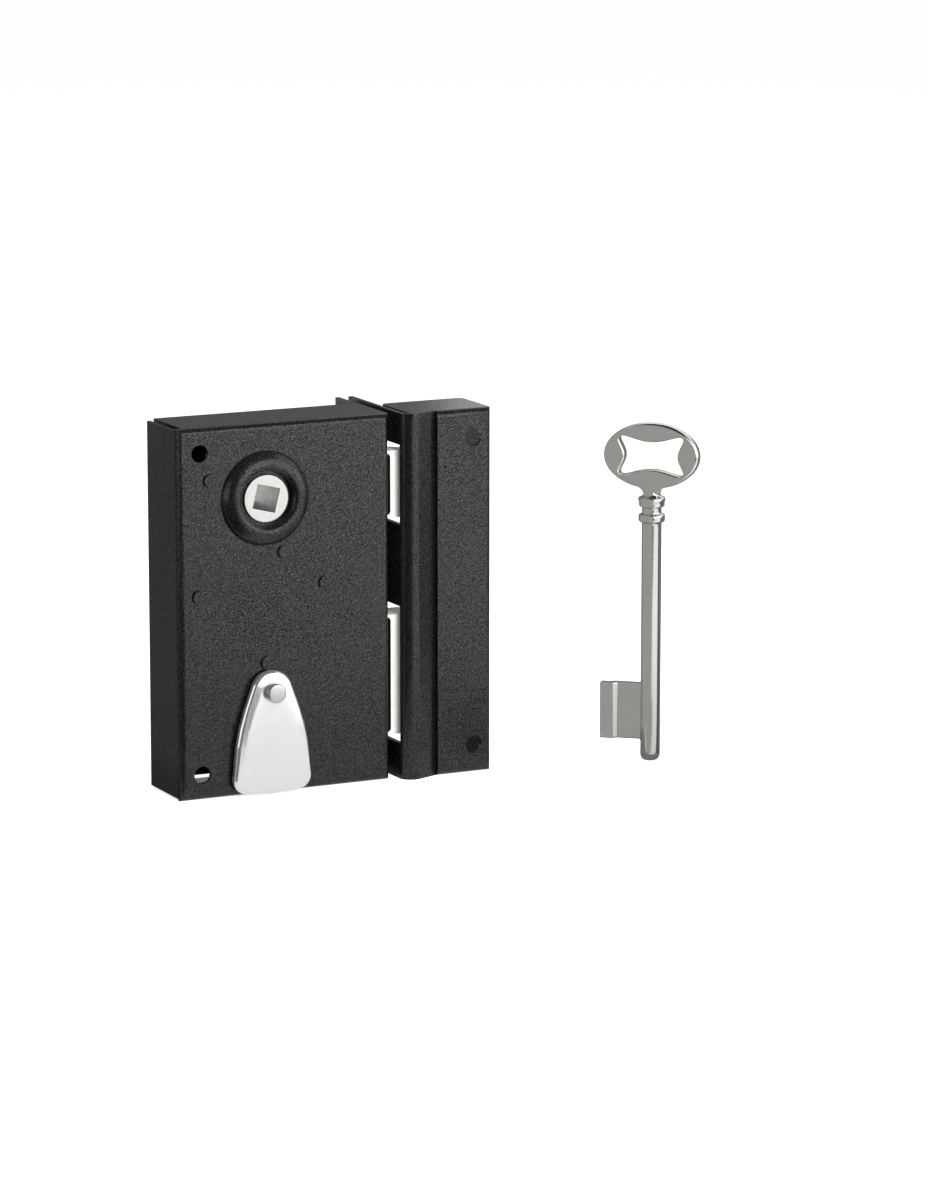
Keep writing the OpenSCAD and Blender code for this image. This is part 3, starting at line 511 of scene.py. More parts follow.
@dataclass
class Assembly:
    """A group of pieces on the lock's bodies, with the finishes that all groups share."""

    finishes: Finishes

    def coat(self, piece: Piece, finish: Finish) -> None:
        """Gives a piece one finish all over."""
        piece.data.materials.clear()
        piece.data.materials.append(self.finishes.of(finish))

    def coat_faces(self, piece: Piece, finish: Finish,
                   wanted: Callable[[bpy.types.MeshPolygon], bool]) -> None:
        """Gives the faces of a piece that a test accepts a second finish.

        Args:
            piece: A piece that has its first finish.
            finish: The second finish.
            wanted: The test.
        """
        piece.data.materials.append(self.finishes.of(finish))
        for face in piece.data.polygons:
            if wanted(face):
                face.material_index = 1

    def hand_over(self, piece: Piece, node: str, body: str, finish: Finish, slot: str) -> None:
        """Gives a piece its finish and its body, and hides the CAD node that it stands for.

        Args:
            piece: The finished piece.
            node: The CAD node that it replaces.
            body: The body that it rides on.
            finish: Its finish.
            slot: Not used.
        """
        self.coat(piece, finish)
        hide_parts(node)
        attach(piece, body)
        LOG.info("%s: %d faces on %s", piece.name, len(piece.data.polygons), body)

    def softened(self, node: str, edge_mm: float, segments: int = 2, sharp_deg: float = 32.0) -> Piece:
        """Copies a CAD node, joins its triangles into faces and rounds its edges as press or die does.

        Args:
            node: The CAD node to copy.
            edge_mm: Radius of the rounded edges.
            segments: Steps across each rounded edge.
            sharp_deg: Edges sharper than this are rounded.

        Returns:
            The softened copy.
        """
        piece = bpy.data.objects.new(node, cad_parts[node].data.copy())
        bpy.context.scene.collection.objects.link(piece)
        with editing(piece, "EDGE"):
            bpy.ops.mesh.select_all(action="SELECT")
            bpy.ops.mesh.remove_doubles(threshold=MERGE_MM * MM)
            bpy.ops.mesh.dissolve_limited(angle_limit=math.radians(FLAT_DEG))
            bpy.ops.mesh.select_all(action="DESELECT")
            bpy.ops.mesh.edges_select_sharp(sharpness=math.radians(sharp_deg))
            bpy.ops.mesh.bevel(offset=edge_mm * MM, segments=segments, affect="EDGES", clamp_overlap=True)
            bpy.ops.mesh.select_all(action="SELECT")
            bpy.ops.mesh.remove_doubles(threshold=MELT_MM * MM)
        settle(piece, f"{node}_skin")
        apply_modifier(piece, "WEIGHTED_NORMAL", keep_sharp=True)
        return piece

    def dress_node(self, node: str, finish: Finish) -> None:
        """Gives a CAD node that stays in view its finish."""
        self.coat(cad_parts[node], finish)
        LOG.info("%s: kept as built", node)


@dataclass
class LockCase(Assembly):
    """The folded case with its back plate, pillars and inner fittings."""

    # Rounds of the edges, and the length of a stud's end that is sprayed with the case.
    edge_mm: float = 0.25
    plate_edge_mm: float = 0.1
    screw_edge_mm: float = 0.08
    stud_edge_mm: float = 0.2
    bracket_edge_mm: float = 0.15
    paint_mm: float = 1.6
    body: str = "case"
    studs: tuple[str, ...] = ("pillar_top", "pillar_right", "pillar_left", "bolt_guide_pillar",
                              "bracket_rivet")

    def build(self) -> None:
        """Builds and dresses the case and all that is fixed to it."""
        shell = self.softened("case_shell", self.edge_mm)
        self.hand_over(shell, "case_shell", self.body, Finishes.POWDER, "powder_coat")
        plate = self.softened("back_plate", self.plate_edge_mm)
        self.hand_over(plate, "back_plate", self.body, Finishes.STEEL, "bare_steel")
        screws = self.softened("back_plate_screws", self.screw_edge_mm)
        self.hand_over(screws, "back_plate_screws", self.body, Finishes.ZINC, "bright_zinc")
        for node in self.studs:
            stud = self.softened(node, self.stud_edge_mm)
            self.hand_over(stud, node, self.body, Finishes.STEEL, "bare_steel")
            self.paint_front(stud)
        bracket = self.softened("latch_bracket", self.bracket_edge_mm)
        self.hand_over(bracket, "latch_bracket", self.body, Finishes.STEEL, "bare_steel")
        self.dress_node("bolt_detent_spring", Finishes.SPRING)
        self.dress_node("key_cover_spacer", Finishes.STEEL)

    def paint_front(self, stud: Piece) -> None:
        """Paints the end of a stud that shows in the front, as it is sprayed with the case."""
        front = min(vertex.co.y for vertex in stud.data.vertices)
        self.coat_faces(stud, Finishes.POWDER, lambda face: face.center.y < front + self.paint_mm * MM)


@dataclass
class Mechanism(Assembly):
    """The hub and the two bolts, with the spring that pushes the latch out."""

    # Rounds of the edges, and the steps across those of the cast bolts.
    hub_edge_mm: float = 0.2
    latch_edge_mm: float = 0.35
    bolt_edge_mm: float = 0.4
    cast_steps: int = 3
    # The square bore: its side, and a little more than half its diagonal as a share of that.
    square_mm: float = 7.1
    half_diagonal: float = 0.71
    # First and last depth of a bolt's hollow behind its front, the span that is painted dark as shade.
    hollow_mm: Pair = (0.45, 1.4)
    # The coil: the latch's travel, the gap that it then leaves, its wire, its turns and their fineness.
    travel_mm: float = 10.6
    seat_gap_mm: float = 0.1
    wire_mm: float = 0.8
    turns: int = 10
    turn_steps: int = 24
    wire_steps: int = 3

    def build(self) -> None:
        """Builds and dresses the moving inner pieces."""
        hub = self.softened("hub", self.hub_edge_mm)
        self.hand_over(hub, "hub", "spindle_hub", Finishes.FACED, "bright_zinc")
        self.dull_bore(hub)
        latch = self.softened("latch_bolt", self.latch_edge_mm, segments=self.cast_steps)
        self.hand_over(latch, "latch_bolt", "latch", Finishes.CAST, "cast_zinc")
        # Painted shade, nearly black, in the latch's hollow.
        self.shade_hollow(latch)
        bolt = self.softened("dead_bolt", self.bolt_edge_mm, segments=self.cast_steps)
        self.hand_over(bolt, "dead_bolt", "bolt", Finishes.CAST, "cast_zinc")
        # Painted shade, nearly black, in the dead bolt's hollow.
        self.shade_hollow(bolt)
        self.wind_spring()

    def dull_bore(self, hub: Piece) -> None:
        """Leaves the walls of the square bore dull, as the broach does.

        Args:
            hub: The hub, whose bore lies on the Y axis of the frame.
        """
        reach = self.square_mm * MM * self.half_diagonal
        self.coat_faces(hub, Finishes.BORE, lambda face: (
            math.hypot(face.center.x, face.center.z) < reach and abs(face.normal.y) < WALL))

    def shade_hollow(self, bolt: Piece) -> None:
        """Paints the hollow of a bolt's front nearly black as painted shade, dark beside the bright rim.

        Args:
            bolt: The bolt.
        """
        front = min(vertex.co.y for vertex in bolt.data.vertices)
        first, last = self.hollow_mm
        self.coat_faces(bolt, Finishes.HOLLOW_SHADE, lambda face: (
            first * MM < face.center.y - front < last * MM))

    def wind_spring(self) -> None:
        """Winds the latch spring from round wire and sets it on the case."""
        low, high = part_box("latch_spring")
        middle = (low + high) / 2
        wire = self.wire_mm * MM / 2
        radius = (high.y - low.y) / 2 - wire
        steps = self.turns * self.turn_steps
        bpy.ops.object.select_all(action="DESELECT")
        bpy.ops.curve.primitive_bezier_curve_add()
        coil = bpy.context.active_object
        coil.data.splines.clear()
        path = coil.data.splines.new("POLY")
        path.points.add(steps)
        for i, point in enumerate(path.points):
            angle = 2 * math.pi * self.turns * i / steps
            run = low.x + wire + (high.x - low.x - 2 * wire) * i / steps
            point.co = (run, middle.y + radius * math.cos(angle), middle.z + radius * math.sin(angle), 1.0)
        coil.data.bevel_depth = wire
        coil.data.bevel_resolution = self.wire_steps
        coil.data.use_fill_caps = True
        pick(coil)
        bpy.ops.object.convert(target="MESH")
        settle(coil, "latch_spring_coil", smooth_deg=60.0)
        self.hand_over(coil, "latch_spring", "case", Finishes.SPRING, "spring_steel")
        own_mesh(coil)


@dataclass
class KeyCover(Assembly):
    """The drawn teardrop over the keyhole and the rivet that it swings on."""

    # The outline below its pivot: the top's round, drop and radius of the rounds in the flanks, the lower
    # corners, and the lower edge, which bows out with a radius that is a share of the half width.
    top_r_mm: float = 6.6
    top_drop_mm: float = 0.4
    flanks_mm: Pairs = ((8.0, 9.2), (12.8, 10.6), (17.2, 11.5))
    half_w_mm: float = 12.4
    corner_r_mm: float = 4.2
    drop_mm: float = 30.6
    bow_mm: float = 0.6
    bow_share: float = 0.7
    steps: int = 180
    # The sheet: the round of its rim, and the step inward and rise of each ring of its crown.
    rim_mm: float = 1.3
    rim_steps: int = 8
    crown_mm: Pairs = ((0.8, 0.17), (0.9, 0.11), (1.0, 0.06))
    sheet_mm: float = 1.0
    # The rivet's hole and the punch that makes it.
    hole_r_mm: float = 2.05
    hole_steps: int = 48
    punch_mm: float = 20.0
    # Place and radius of the rivet's rings: from the tail's end, and back from the head's face.
    rivet_tail_mm: Pairs = ((0.0, 3.2), (1.0, 3.2), (1.0, 2.0))
    rivet_head_mm: Pairs = (
        (2.5, 2.0), (2.5, 2.9), (0.5, 2.9), (0.3, 2.85), (0.15, 2.72), (0.05, 2.5), (0.0, 2.2))

    def build(self) -> None:
        """Builds and dresses the cover and its rivet."""
        self.draw_cover()
        self.head_rivet()

    def discs(self) -> list[Triple]:
        """Lists the rounds that the teardrop's outline is drawn tight around.

        Returns:
            Distance sideways, height from the pivot and radius of each, in mm.
        """
        bow_r = self.half_w_mm * self.bow_share
        side, height = self.half_w_mm - self.corner_r_mm, self.corner_r_mm + self.bow_mm - self.drop_mm
        flanks = [(0.0, -drop, r) for drop, r in self.flanks_mm]
        return flanks + [(0.0, -self.top_drop_mm, self.top_r_mm), (0.0, bow_r - self.drop_mm, bow_r),
                         (side, height, self.corner_r_mm), (-side, height, self.corner_r_mm)]

    def outline(self, pivot: Vector) -> list[Pair]:
        """Draws the outline round those discs.

        Args:
            pivot: The axis that the cover swings on.

        Returns:
            Points in X and Z, in metres.
        """
        discs = self.discs()
        points = []
        for i in range(self.steps):
            angle = 2 * math.pi * i / self.steps
            way = (math.cos(angle), math.sin(angle))
            x, z, r = max(discs, key=lambda disc: disc[0] * way[0] + disc[1] * way[1] + disc[2])
            points.append((pivot.x + (x + r * way[0]) * MM, pivot.z + (z + r * way[1]) * MM))
        return points

    def pivot(self) -> Vector:
        """Finds the swing's axis from the rivet."""
        low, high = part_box("key_cover_rivet")
        return (low + high) / 2

    def draw_cover(self) -> None:
        """Draws the cover from a blank: rounds its rim, crowns its face, hollows it and punches its hole."""
        low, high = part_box("key_cover")
        pivot = self.pivot()
        shoulder = low.y + sum(rise for _, rise in self.crown_mm) * MM
        cover = outline_plate(self.outline(pivot), shoulder, high.y)
        with editing(cover, "EDGE"):
            choose_edges(cover, lambda edge: all(v.co.y < shoulder + NEAR_MM * MM for v in edge.verts))
            bpy.ops.mesh.bevel(offset=self.rim_mm * MM, segments=self.rim_steps, affect="EDGES",
                               clamp_overlap=False)
        with editing(cover):
            choose_faces(cover, lambda face: looks(face, Side.FRONT) and len(face.verts) > QUAD)
            for inward, rise in self.crown_mm:
                bpy.ops.mesh.inset(thickness=inward * MM, depth=rise * MM)
            choose_faces(cover, lambda face: looks(face, Side.BACK))
            bpy.ops.mesh.delete(type="FACE")
        apply_modifier(cover, "SOLIDIFY", thickness=self.sheet_mm * MM, offset=-1.0, use_even_offset=True)
        bpy.ops.object.select_all(action="DESELECT")
        bpy.ops.mesh.primitive_cylinder_add(
            vertices=self.hole_steps, radius=self.hole_r_mm * MM, depth=self.punch_mm * MM,
            location=pivot, rotation=(math.pi / 2, 0.0, 0.0))
        cut_with(cover, bpy.context.active_object)
        settle(cover, "key_cover_drawn", smooth_deg=40.0)
        self.hand_over(cover, "key_cover", "cover", Finishes.ZINC, "bright_zinc")

    def head_rivet(self) -> None:
        """Turns the rivet from its tail to a flat head with a soft edge."""
        low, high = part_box("key_cover_rivet")
        pivot = self.pivot()
        length = (high.y - low.y) / MM
        stations = list(self.rivet_tail_mm) + [(length - drop, r) for drop, r in self.rivet_head_mm]
        rivet = turned_bar(Vector((0.0, 0.0, 0.0)), [(z * MM, r * MM) for z, r in stations])
        rivet.rotation_euler.x = math.pi / 2
        rivet.location = (pivot.x, high.y, pivot.z)
        settle(rivet, "key_cover_rivet_head", smooth_deg=30.0)
        self.hand_over(rivet, "key_cover_rivet", "case", Finishes.FACED, "bright_zinc")


@dataclass
class Keeper(Assembly):
    """The folded strike with its rolled nose and the box cover over it."""

    edge_mm: float = 0.25

    def build(self) -> None:
        """Builds and dresses the two sheets of the keeper."""
        for node in ("keeper_strike", "keeper_cover"):
            sheet = self.softened(node, self.edge_mm)
            self.hand_over(sheet, node, "case", Finishes.POWDER, "powder_coat")


@dataclass
class LooseKey(Assembly):
    """The cast key that stands on its tip beside the lock."""

    # Place of its axis in X and Y, the turn of its bow about that, and its length.
    stand_mm: Pair = (121.8, -32.8)
    turn_deg: float = -41.0
    length_mm: float = 103.1
    # The oval bow and the round of its rim, which is what is sharper than an angle.
    bow_w_mm: float = 29.2
    bow_h_mm: float = 19.9
    bow_t_mm: float = 4.0
    bow_steps: int = 128
    rim_mm: float = 1.2
    rim_steps: int = 5
    rim_deg: float = 50.0
    # The bow's hole: its sizes with sharp corners, how far its sides curve in, the passes that round its
    # corners, and the round of its rim, which lies within a share of the bow's width and height.
    hole_w_mm: float = 20.6
    hole_h_mm: float = 13.0
    hole_dip_x_mm: float = 2.5
    hole_dip_z_mm: float = 2.5
    hole_steps: int = 24
    hole_passes: int = 10
    hole_rim_mm: float = 0.8
    hole_rim_steps: int = 4
    hole_zone: float = 0.43
    # The bit, and the land at its end that steps to one side.
    bit_reach_mm: float = 15.2
    bit_h_mm: float = 17.3
    bit_start_mm: float = 6.4
    bit_t_mm: float = 2.6
    land_w_mm: float = 4.0
    land_step_mm: float = 1.0
    # The throat under the bow: its thickness, and its right side from below in X and Z.
    throat_t_mm: float = 3.9
    throat_mm: Pairs = ((2.3, 81.6), (2.6, 82.6), (3.4, 83.4), (5.0, 84.2), (5.0, 85.5))
    # The grid that fuses the casting, and the tumbling that evens it.
    voxel_mm: float = 0.22
    polish: float = 0.5
    polish_passes: int = 4
    # Height and radius of the rings of the shank and its collars.
    stations_mm: Pairs = (
        (0.0, 1.4), (0.2, 1.95), (0.6, 2.5), (1.2, 2.8), (2.0, 3.0), (72.6, 3.0), (73.0, 3.1), (73.2, 3.7),
        (73.5, 4.0), (75.2, 4.0), (75.5, 3.7), (75.65, 2.95), (77.6, 2.95), (77.75, 3.6), (78.0, 3.9),
        (78.6, 3.85), (79.2, 3.9), (79.6, 4.1), (80.4, 4.12), (80.7, 3.8), (80.95, 2.9),
        (81.6, 2.55), (82.4, 2.25), (83.4, 2.02), (84.6, 1.9))

    def build(self) -> None:
        """Models the key from its shank, bit and bow, fuses them as one casting and sets it in place."""
        key = turned_bar(Vector((0.0, 0.0, 0.0)), [(z * MM, r * MM) for z, r in self.stations_mm])
        cut_with(key, self.bit(), "UNION")
        cut_with(key, self.bow(), "UNION")
        cut_with(key, self.throat(), "UNION")
        apply_modifier(key, "REMESH", mode="VOXEL", voxel_size=self.voxel_mm * MM, use_smooth_shade=True)
        apply_modifier(key, "SMOOTH", factor=self.polish, iterations=self.polish_passes)
        key.rotation_euler.z = math.radians(self.turn_deg)
        key.location = (self.stand_mm[0] * MM, self.stand_mm[1] * MM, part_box("key")[0].z)
        settle(key, "key_casting", smooth_deg=60.0)
        self.hand_over(key, "key", "loose_key", Finishes.NICKEL, "nickel")

    def throat(self) -> Piece:
        """Models the throat that spreads from the shank into the bow, the same on both sides.

        Returns:
            The throat, overlapping the shank and the bow.
        """
        half_t = self.throat_t_mm / 2 * MM
        right = [(x * MM, z * MM) for x, z in self.throat_mm]
        return outline_plate(right + [(-x, z) for x, z in reversed(right)], -half_t, half_t)

    def bit(self) -> Piece:
        """Models the bit with its land stepped to one side.

        Returns:
            The bit, overlapping the shank.
        """
        half, reach, inner = self.bit_t_mm / 2, self.bit_reach_mm, self.bit_reach_mm - self.land_w_mm
        step = self.land_step_mm
        plan = [(0.0, half), (0.0, -half), (-inner + half, -half), (-inner, -half - step),
                (-reach, -half - step), (-reach, half - step), (-inner - half, half - step), (-inner, half)]
        return extruded([(x * MM, y * MM, self.bit_start_mm * MM) for x, y in plan],
                        (0.0, 0.0, self.bit_h_mm * MM))

    def bow(self) -> Piece:
        """Models the oval bow and cuts its hole, whose four sides curve in.

        Returns:
            The bow, overlapping the shank.
        """
        middle = self.length_mm - self.bow_h_mm / 2
        half_t = self.bow_t_mm / 2 * MM
        oval = []
        for i in range(self.bow_steps):
            angle = 2 * math.pi * i / self.bow_steps
            oval.append((self.bow_w_mm / 2 * math.cos(angle) * MM,
                         (middle + self.bow_h_mm / 2 * math.sin(angle)) * MM))
        bow = outline_plate(oval, -half_t, half_t)
        with editing(bow, "EDGE"):
            bpy.ops.mesh.edges_select_sharp(sharpness=math.radians(self.rim_deg))
            bpy.ops.mesh.bevel(offset=self.rim_mm * MM, segments=self.rim_steps, affect="EDGES")
        cut_with(bow, outline_plate(self.hole_outline(middle), -3 * half_t, 3 * half_t))
        with editing(bow, "EDGE"):
            choose_edges(bow, lambda edge: self.on_hole_rim(edge, middle))
            bpy.ops.mesh.bevel(offset=self.hole_rim_mm * MM, segments=self.hole_rim_steps, affect="EDGES")
        return bow

    def on_hole_rim(self, edge: bmesh.types.BMEdge, middle: float) -> bool:
        """Says whether an edge of the bow lies on the rim of its hole, in front or behind.

        Args:
            edge: The edge.
            middle: Height of the hole's middle, in mm.

        Returns:
            True for an edge of the rim.
        """
        flat = self.bow_t_mm / 2 * MM - NEAR_MM * MM
        for vertex in edge.verts:
            away = math.hypot(vertex.co.x / self.bow_w_mm, (vertex.co.z - middle * MM) / self.bow_h_mm)
            if abs(vertex.co.y) <= flat or away >= self.hole_zone * MM:
                return False
        faces = edge.link_faces
        return len(faces) == 2 and abs(faces[0].normal.y - faces[1].normal.y) > WALL

    def hole_outline(self, middle: float) -> list[Pair]:
        """Draws the bow's hole: a rectangle whose long sides arch in and whose short sides swell in.

        The corners are rounded by averaging each point with its neighbours, which draws the hole in a little.

        Args:
            middle: Height of the hole's middle, in mm.

        Returns:
            Points in X and Z, in metres.
        """
        half_w, half_h, count = self.hole_w_mm / 2, self.hole_h_mm / 2, self.hole_steps
        corners = [(half_w, -half_h), (half_w, half_h), (-half_w, half_h), (-half_w, -half_h)]
        dips = [(-self.hole_dip_x_mm, 0.0), (0.0, -self.hole_dip_z_mm), (self.hole_dip_x_mm, 0.0),
                (0.0, self.hole_dip_z_mm)]
        points = []
        for side in range(4):
            (x0, z0), (x1, z1), (dx, dz) = corners[side], corners[(side + 1) % 4], dips[side]
            for i in range(count):
                t = i / count
                swell = (1 - math.cos(2 * math.pi * t)) / 2
                bulge = swell if dx else (swell + 4 * t * (1 - t)) / 2
                points.append(((x0 + (x1 - x0) * t + dx * bulge) * MM,
                               (middle + z0 + (z1 - z0) * t + dz * bulge) * MM))
        for _ in range(self.hole_passes):
            beside = zip(points[-1:] + points[:-1], points, points[1:] + points[:1])
            points = [((a[0] + 2 * b[0] + c[0]) / 4, (a[1] + 2 * b[1] + c[1]) / 4) for a, b, c in beside]
        return points


# Studio


@dataclass(frozen=True)
class Card:
    """A card that only gloss sees: grey, so that shiny edges turn dark, or glowing, so that they light up.

    Attributes:
        name: Its name.
        tone: Its colour.
        corners: Its corners in metres, in order round it.
        glow: Strength of its colour.
        one_sided: Whether it shows on its front alone.
        order: The corners of Blender's plane in order round it.
    """

    name: str
    tone: str
    corners: Corners
    glow: float = 1.0
    one_sided: bool = False
    order: tuple[int, ...] = (0, 1, 3, 2)

    def stand(self) -> None:
        """Stands the card in the studio."""
        bpy.ops.object.select_all(action="DESELECT")
        bpy.ops.mesh.primitive_plane_add(size=1.0)
        card = bpy.context.active_object
        card.name = self.name
        for i, corner in zip(self.order, self.corners):
            card.data.vertices[i].co = corner
        card.data.materials.append(self.paper())
        card.visible_camera = False
        card.visible_diffuse = False
        card.visible_shadow = False
        card.visible_transmission = False

    def paper(self) -> bpy.types.Material:
        """Makes the card's paper, which a one-sided card shows on its front alone.

        Returns:
            The node material.
        """
        material = bare_material(self.name)
        tree = material.node_tree
        shown = add_node(tree, "ShaderNodeEmission", {
            "Color": linear(self.tone), "Strength": self.glow}).outputs["Emission"]
        if self.one_sided:
            behind = add_node(tree, "ShaderNodeNewGeometry").outputs["Backfacing"]
            clear = add_node(tree, "ShaderNodeBsdfTransparent").outputs["BSDF"]
            shown = add_node(tree, "ShaderNodeMixShader", {
                "Fac": behind, 1: shown, 2: clear}).outputs["Shader"]
        add_node(tree, "ShaderNodeOutputMaterial", {"Surface": shown})
        return material


def upright(start: Pair, end: Pair, low: float, high: float) -> Corners:
    """Gives the corners of a card that stands over a line from start to end."""
    return (*start, low), (*end, low), (*end, high), (*start, high)


def level(height: float, *plan: Pair) -> Corners:
    """Gives the corners of a card that lies level at one height."""
    return tuple((*place, height) for place in plan)


# Heights in metres: the foot of a standing card, and the cards on the floor, one over the other.
FOOT = -0.0875
LOW_CARD = -0.0878
KEY_CARD = -0.0877
TOP_CARD = -0.0876
CARDS = (
    Card("overhead_card", "#3a3a3a", level(0.5, (-1.2, -0.6), (0.45, -0.6), (0.35, 0.2), (-1.2, 0.2))),
    Card("front_strip", WHITE, upright((-0.5, -0.95), (2.5, -0.95), -0.08, 0.75), glow=2.2),
    Card("back_card", "#7e7e7e", upright((-0.4, 0.4), (0.262, 0.4), 0.02, 0.5)),
    Card("left_front_card", "#262626", upright((-0.045, -0.05), (-0.045, -0.95), FOOT, 0.5)),
    Card("left_front_floor_card", "#262626",
         level(LOW_CARD, (-0.6, -0.03), (-0.03, -0.03), (0.155, -0.59), (-0.6, -0.95))),
    Card("left_card", "#787878", upright((-0.042, -0.02), (-0.042, 0.06), FOOT, 0.03)),
    Card("back_floor_card", "#606060",
         level(LOW_CARD, (-0.3, -0.02), (0.078, -0.02), (0.078, 0.12), (-0.3, 0.12))),
    Card("far_floor_card", "#8c8c8c", level(LOW_CARD, (-0.4, 0.12), (0.03, 0.12), (0.03, 0.7), (-0.4, 0.7))),
    Card("right_card", "#808080", upright((0.3, -0.09), (0.3, 0.6), FOOT, 0.06)),
    Card("right_floor_card", "#808080",
         level(LOW_CARD, (0.08, -0.03), (0.6, -0.19), (0.6, 0.4), (0.08, 0.4))),
    Card("right_front_floor_card", "#606060",
         level(TOP_CARD, (0.13, -0.045), (0.64, -0.42), (0.78, -0.12), (0.13, -0.034))),
    Card("key_floor_card", "#a8a8a8",
         level(KEY_CARD, (0.08, -0.12), (0.115, -0.12), (0.115, -0.04), (0.08, -0.04))),
    Card("key_left_card", "#adadad", upright((0.08, -0.17), (0.08, 0.03), FOOT, 0.085), one_sided=True),
    Card("key_back_card", "#868686", upright((0.076, 0.03), (0.2, 0.03), FOOT, 0.02)))


@dataclass(frozen=True)
class SoftBox:
    """A soft square lamp that gloss doesn't see.

    Attributes:
        name: Its name.
        offset: Its place from the middle of the lock, in metres.
        size: Length of its side, in metres.
        watts: Its power.
    """

    name: str
    offset: Triple
    size: float
    watts: float

    def hang(self, middle: Vector) -> None:
        """Hangs the lamp and turns it to the lock.

        Args:
            middle: The middle of the lock.
        """
        lamp = bpy.data.lights.new(self.name, "AREA")
        lamp.size = self.size
        lamp.energy = self.watts
        hung = bpy.data.objects.new(self.name, lamp)
        hung.location = middle + Vector(self.offset)
        hung.rotation_euler = (-Vector(self.offset)).to_track_quat("-Z", "Y").to_euler()
        hung.visible_glossy = False
        bpy.context.scene.collection.objects.link(hung)


SOFT_BOXES = (SoftBox("overhead_soft_box", (0.0, -0.15, 0.55), size=0.5, watts=3.0),
              SoftBox("front_soft_box", (0.12, -0.75, 0.5), size=0.6, watts=7.0))


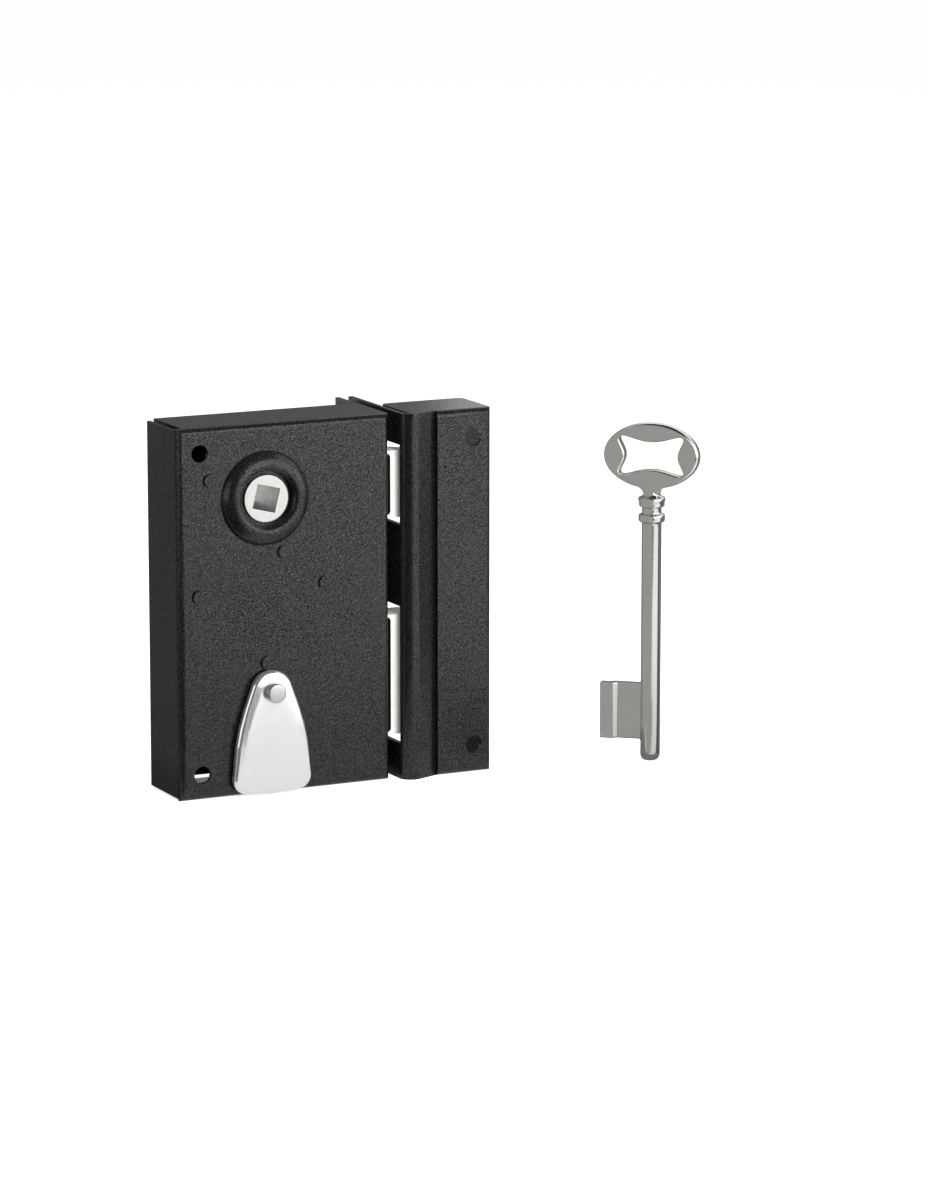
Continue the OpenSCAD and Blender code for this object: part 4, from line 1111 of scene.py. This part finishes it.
@dataclass
class Studio:
    """White sweep, soft lamps and the camera of the photograph."""

    # The camera: its place in metres, its turns to the right and down, its lens and its nearest view.
    camera_at: Triple = (-0.5904, -1.3635, 0.2581)
    yaw_deg: float = 26.022
    pitch_deg: float = 11.138
    focal_px: float = 5118.0
    image_h_px: float = 1200.0
    sensor_mm: float = 36.0
    clip_m: float = 0.01
    # The floor: half its width in metres, its colour, its glow to the camera, and its glow in the metal,
    # which grows between two distances from the lock.
    floor_half: float = 6.0
    paper: str = "#f4f4f4"
    floor_glow: float = 0.75
    mirror_m: Pair = (0.08, 0.28)
    mirror_glow: Pair = (0.72, 1.15)
    # Even light on the lock.
    ambient: float = 0.25

    def build(self) -> None:
        """Sets up the floor, the world, the lamps, the cards and the camera."""
        self.lay_floor()
        self.light_world()
        middle = (Vector(CAD_BOX[0]) + Vector(CAD_BOX[1])) / 2
        for lamp in SOFT_BOXES:
            lamp.hang(middle)
        for card in CARDS:
            card.stand()
        self.aim_camera()
        bpy.context.scene.view_settings.view_transform = "Standard"

    def lay_floor(self) -> None:
        """Lays the white floor that the lock stands on, which keeps its shadow."""
        bpy.ops.object.select_all(action="DESELECT")
        bpy.ops.mesh.primitive_plane_add(size=2 * self.floor_half, location=(0.0, 0.0, CAD_BOX[0][2]))
        floor = bpy.context.active_object
        floor.name = "studio_floor"
        material = bare_material("white_paper_sweep")
        tree = material.node_tree
        path = add_node(tree, "ShaderNodeLightPath")
        paper = add_node(tree, "ShaderNodeBsdfDiffuse", {"Color": linear(self.paper)})
        glow = add_node(tree, "ShaderNodeEmission", {"Color": linear(WHITE), "Strength": self.floor_glow})
        both = add_node(tree, "ShaderNodeAddShader", {0: paper.outputs["BSDF"], 1: glow.outputs["Emission"]})
        shown = add_node(tree, "ShaderNodeMixShader", {
            "Fac": path.outputs["Is Camera Ray"], 1: paper.outputs["BSDF"], 2: both.outputs["Shader"]})
        mirrored = add_node(tree, "ShaderNodeEmission", {
            "Color": linear(WHITE), "Strength": self.mirrored_floor(tree)})
        seen = add_node(tree, "ShaderNodeMixShader", {
            "Fac": path.outputs["Is Glossy Ray"], 1: shown.outputs["Shader"],
            2: mirrored.outputs["Emission"]})
        add_node(tree, "ShaderNodeOutputMaterial", {"Surface": seen.outputs["Shader"]})
        floor.data.materials.append(material)

    def mirrored_floor(self, tree: Tree) -> Socket:
        """Makes the floor a little darker near the lock as the metal mirrors it.

        Args:
            tree: The floor's tree.

        Returns:
            A socket with the strength of the floor's glow in reflections.
        """
        place = add_node(tree, "ShaderNodeTexCoord").outputs["Object"]
        away = add_node(tree, "ShaderNodeVectorMath", {0: place}, operation="LENGTH")
        strength = add_node(tree, "ShaderNodeMapRange", {
            "Value": away.outputs["Value"], "From Min": self.mirror_m[0], "From Max": self.mirror_m[1],
            "To Min": self.mirror_glow[0], "To Max": self.mirror_glow[1]},
            interpolation_type="SMOOTHSTEP")
        return strength.outputs["Result"]

    def seen_rays(self, tree: Tree) -> Socket:
        """Tells the rays that see the background from those that light the object.

        Args:
            tree: The tree that asks.

        Returns:
            A socket that is one for camera, glossy and transmission rays.
        """
        path = add_node(tree, "ShaderNodeLightPath")
        first = add_node(tree, "ShaderNodeMath", {
            0: path.outputs["Is Camera Ray"], 1: path.outputs["Is Glossy Ray"]}, operation="MAXIMUM")
        both = add_node(tree, "ShaderNodeMath", {
            0: first.outputs["Value"], 1: path.outputs["Is Transmission Ray"]}, operation="MAXIMUM")
        return both.outputs["Value"]

    def light_world(self) -> None:
        """Makes the world white to look at and a plain even light on the object."""
        world = bpy.data.worlds.new("white_studio")
        bpy.context.scene.world = world
        world.use_nodes = True
        tree = world.node_tree
        tree.nodes.clear()
        seen = self.seen_rays(tree)
        strength = add_node(tree, "ShaderNodeMapRange", {
            "Value": seen, "To Min": self.ambient, "To Max": 1.0})
        sky = add_node(tree, "ShaderNodeBackground", {
            "Color": linear(WHITE), "Strength": strength.outputs["Result"]})
        add_node(tree, "ShaderNodeOutputWorld", {"Surface": sky.outputs["Background"]})

    def aim_camera(self) -> None:
        """Sets the camera where the photograph was taken from."""
        camera = bpy.data.cameras.new("photo_camera")
        camera.sensor_fit = "VERTICAL"
        camera.sensor_height = self.sensor_mm
        camera.lens = self.sensor_mm * self.focal_px / self.image_h_px
        camera.clip_start = self.clip_m
        stand = bpy.data.objects.new("photo_camera", camera)
        stand.location = self.camera_at
        stand.rotation_euler = (math.radians(90.0 - self.pitch_deg), 0.0, math.radians(-self.yaw_deg))
        bpy.context.scene.collection.objects.link(stand)
        bpy.context.scene.camera = stand


def main() -> None:
    """Builds the lock's assemblies and the studio in order."""
    logging.basicConfig(level=logging.INFO, format="%(name)s %(message)s")
    finishes = Finishes()
    for assembly in (LockCase(finishes), Mechanism(finishes), KeyCover(finishes), Keeper(finishes),
                     LooseKey(finishes)):
        assembly.build()
    Studio().build()


if __name__ == "__main__":
    main()
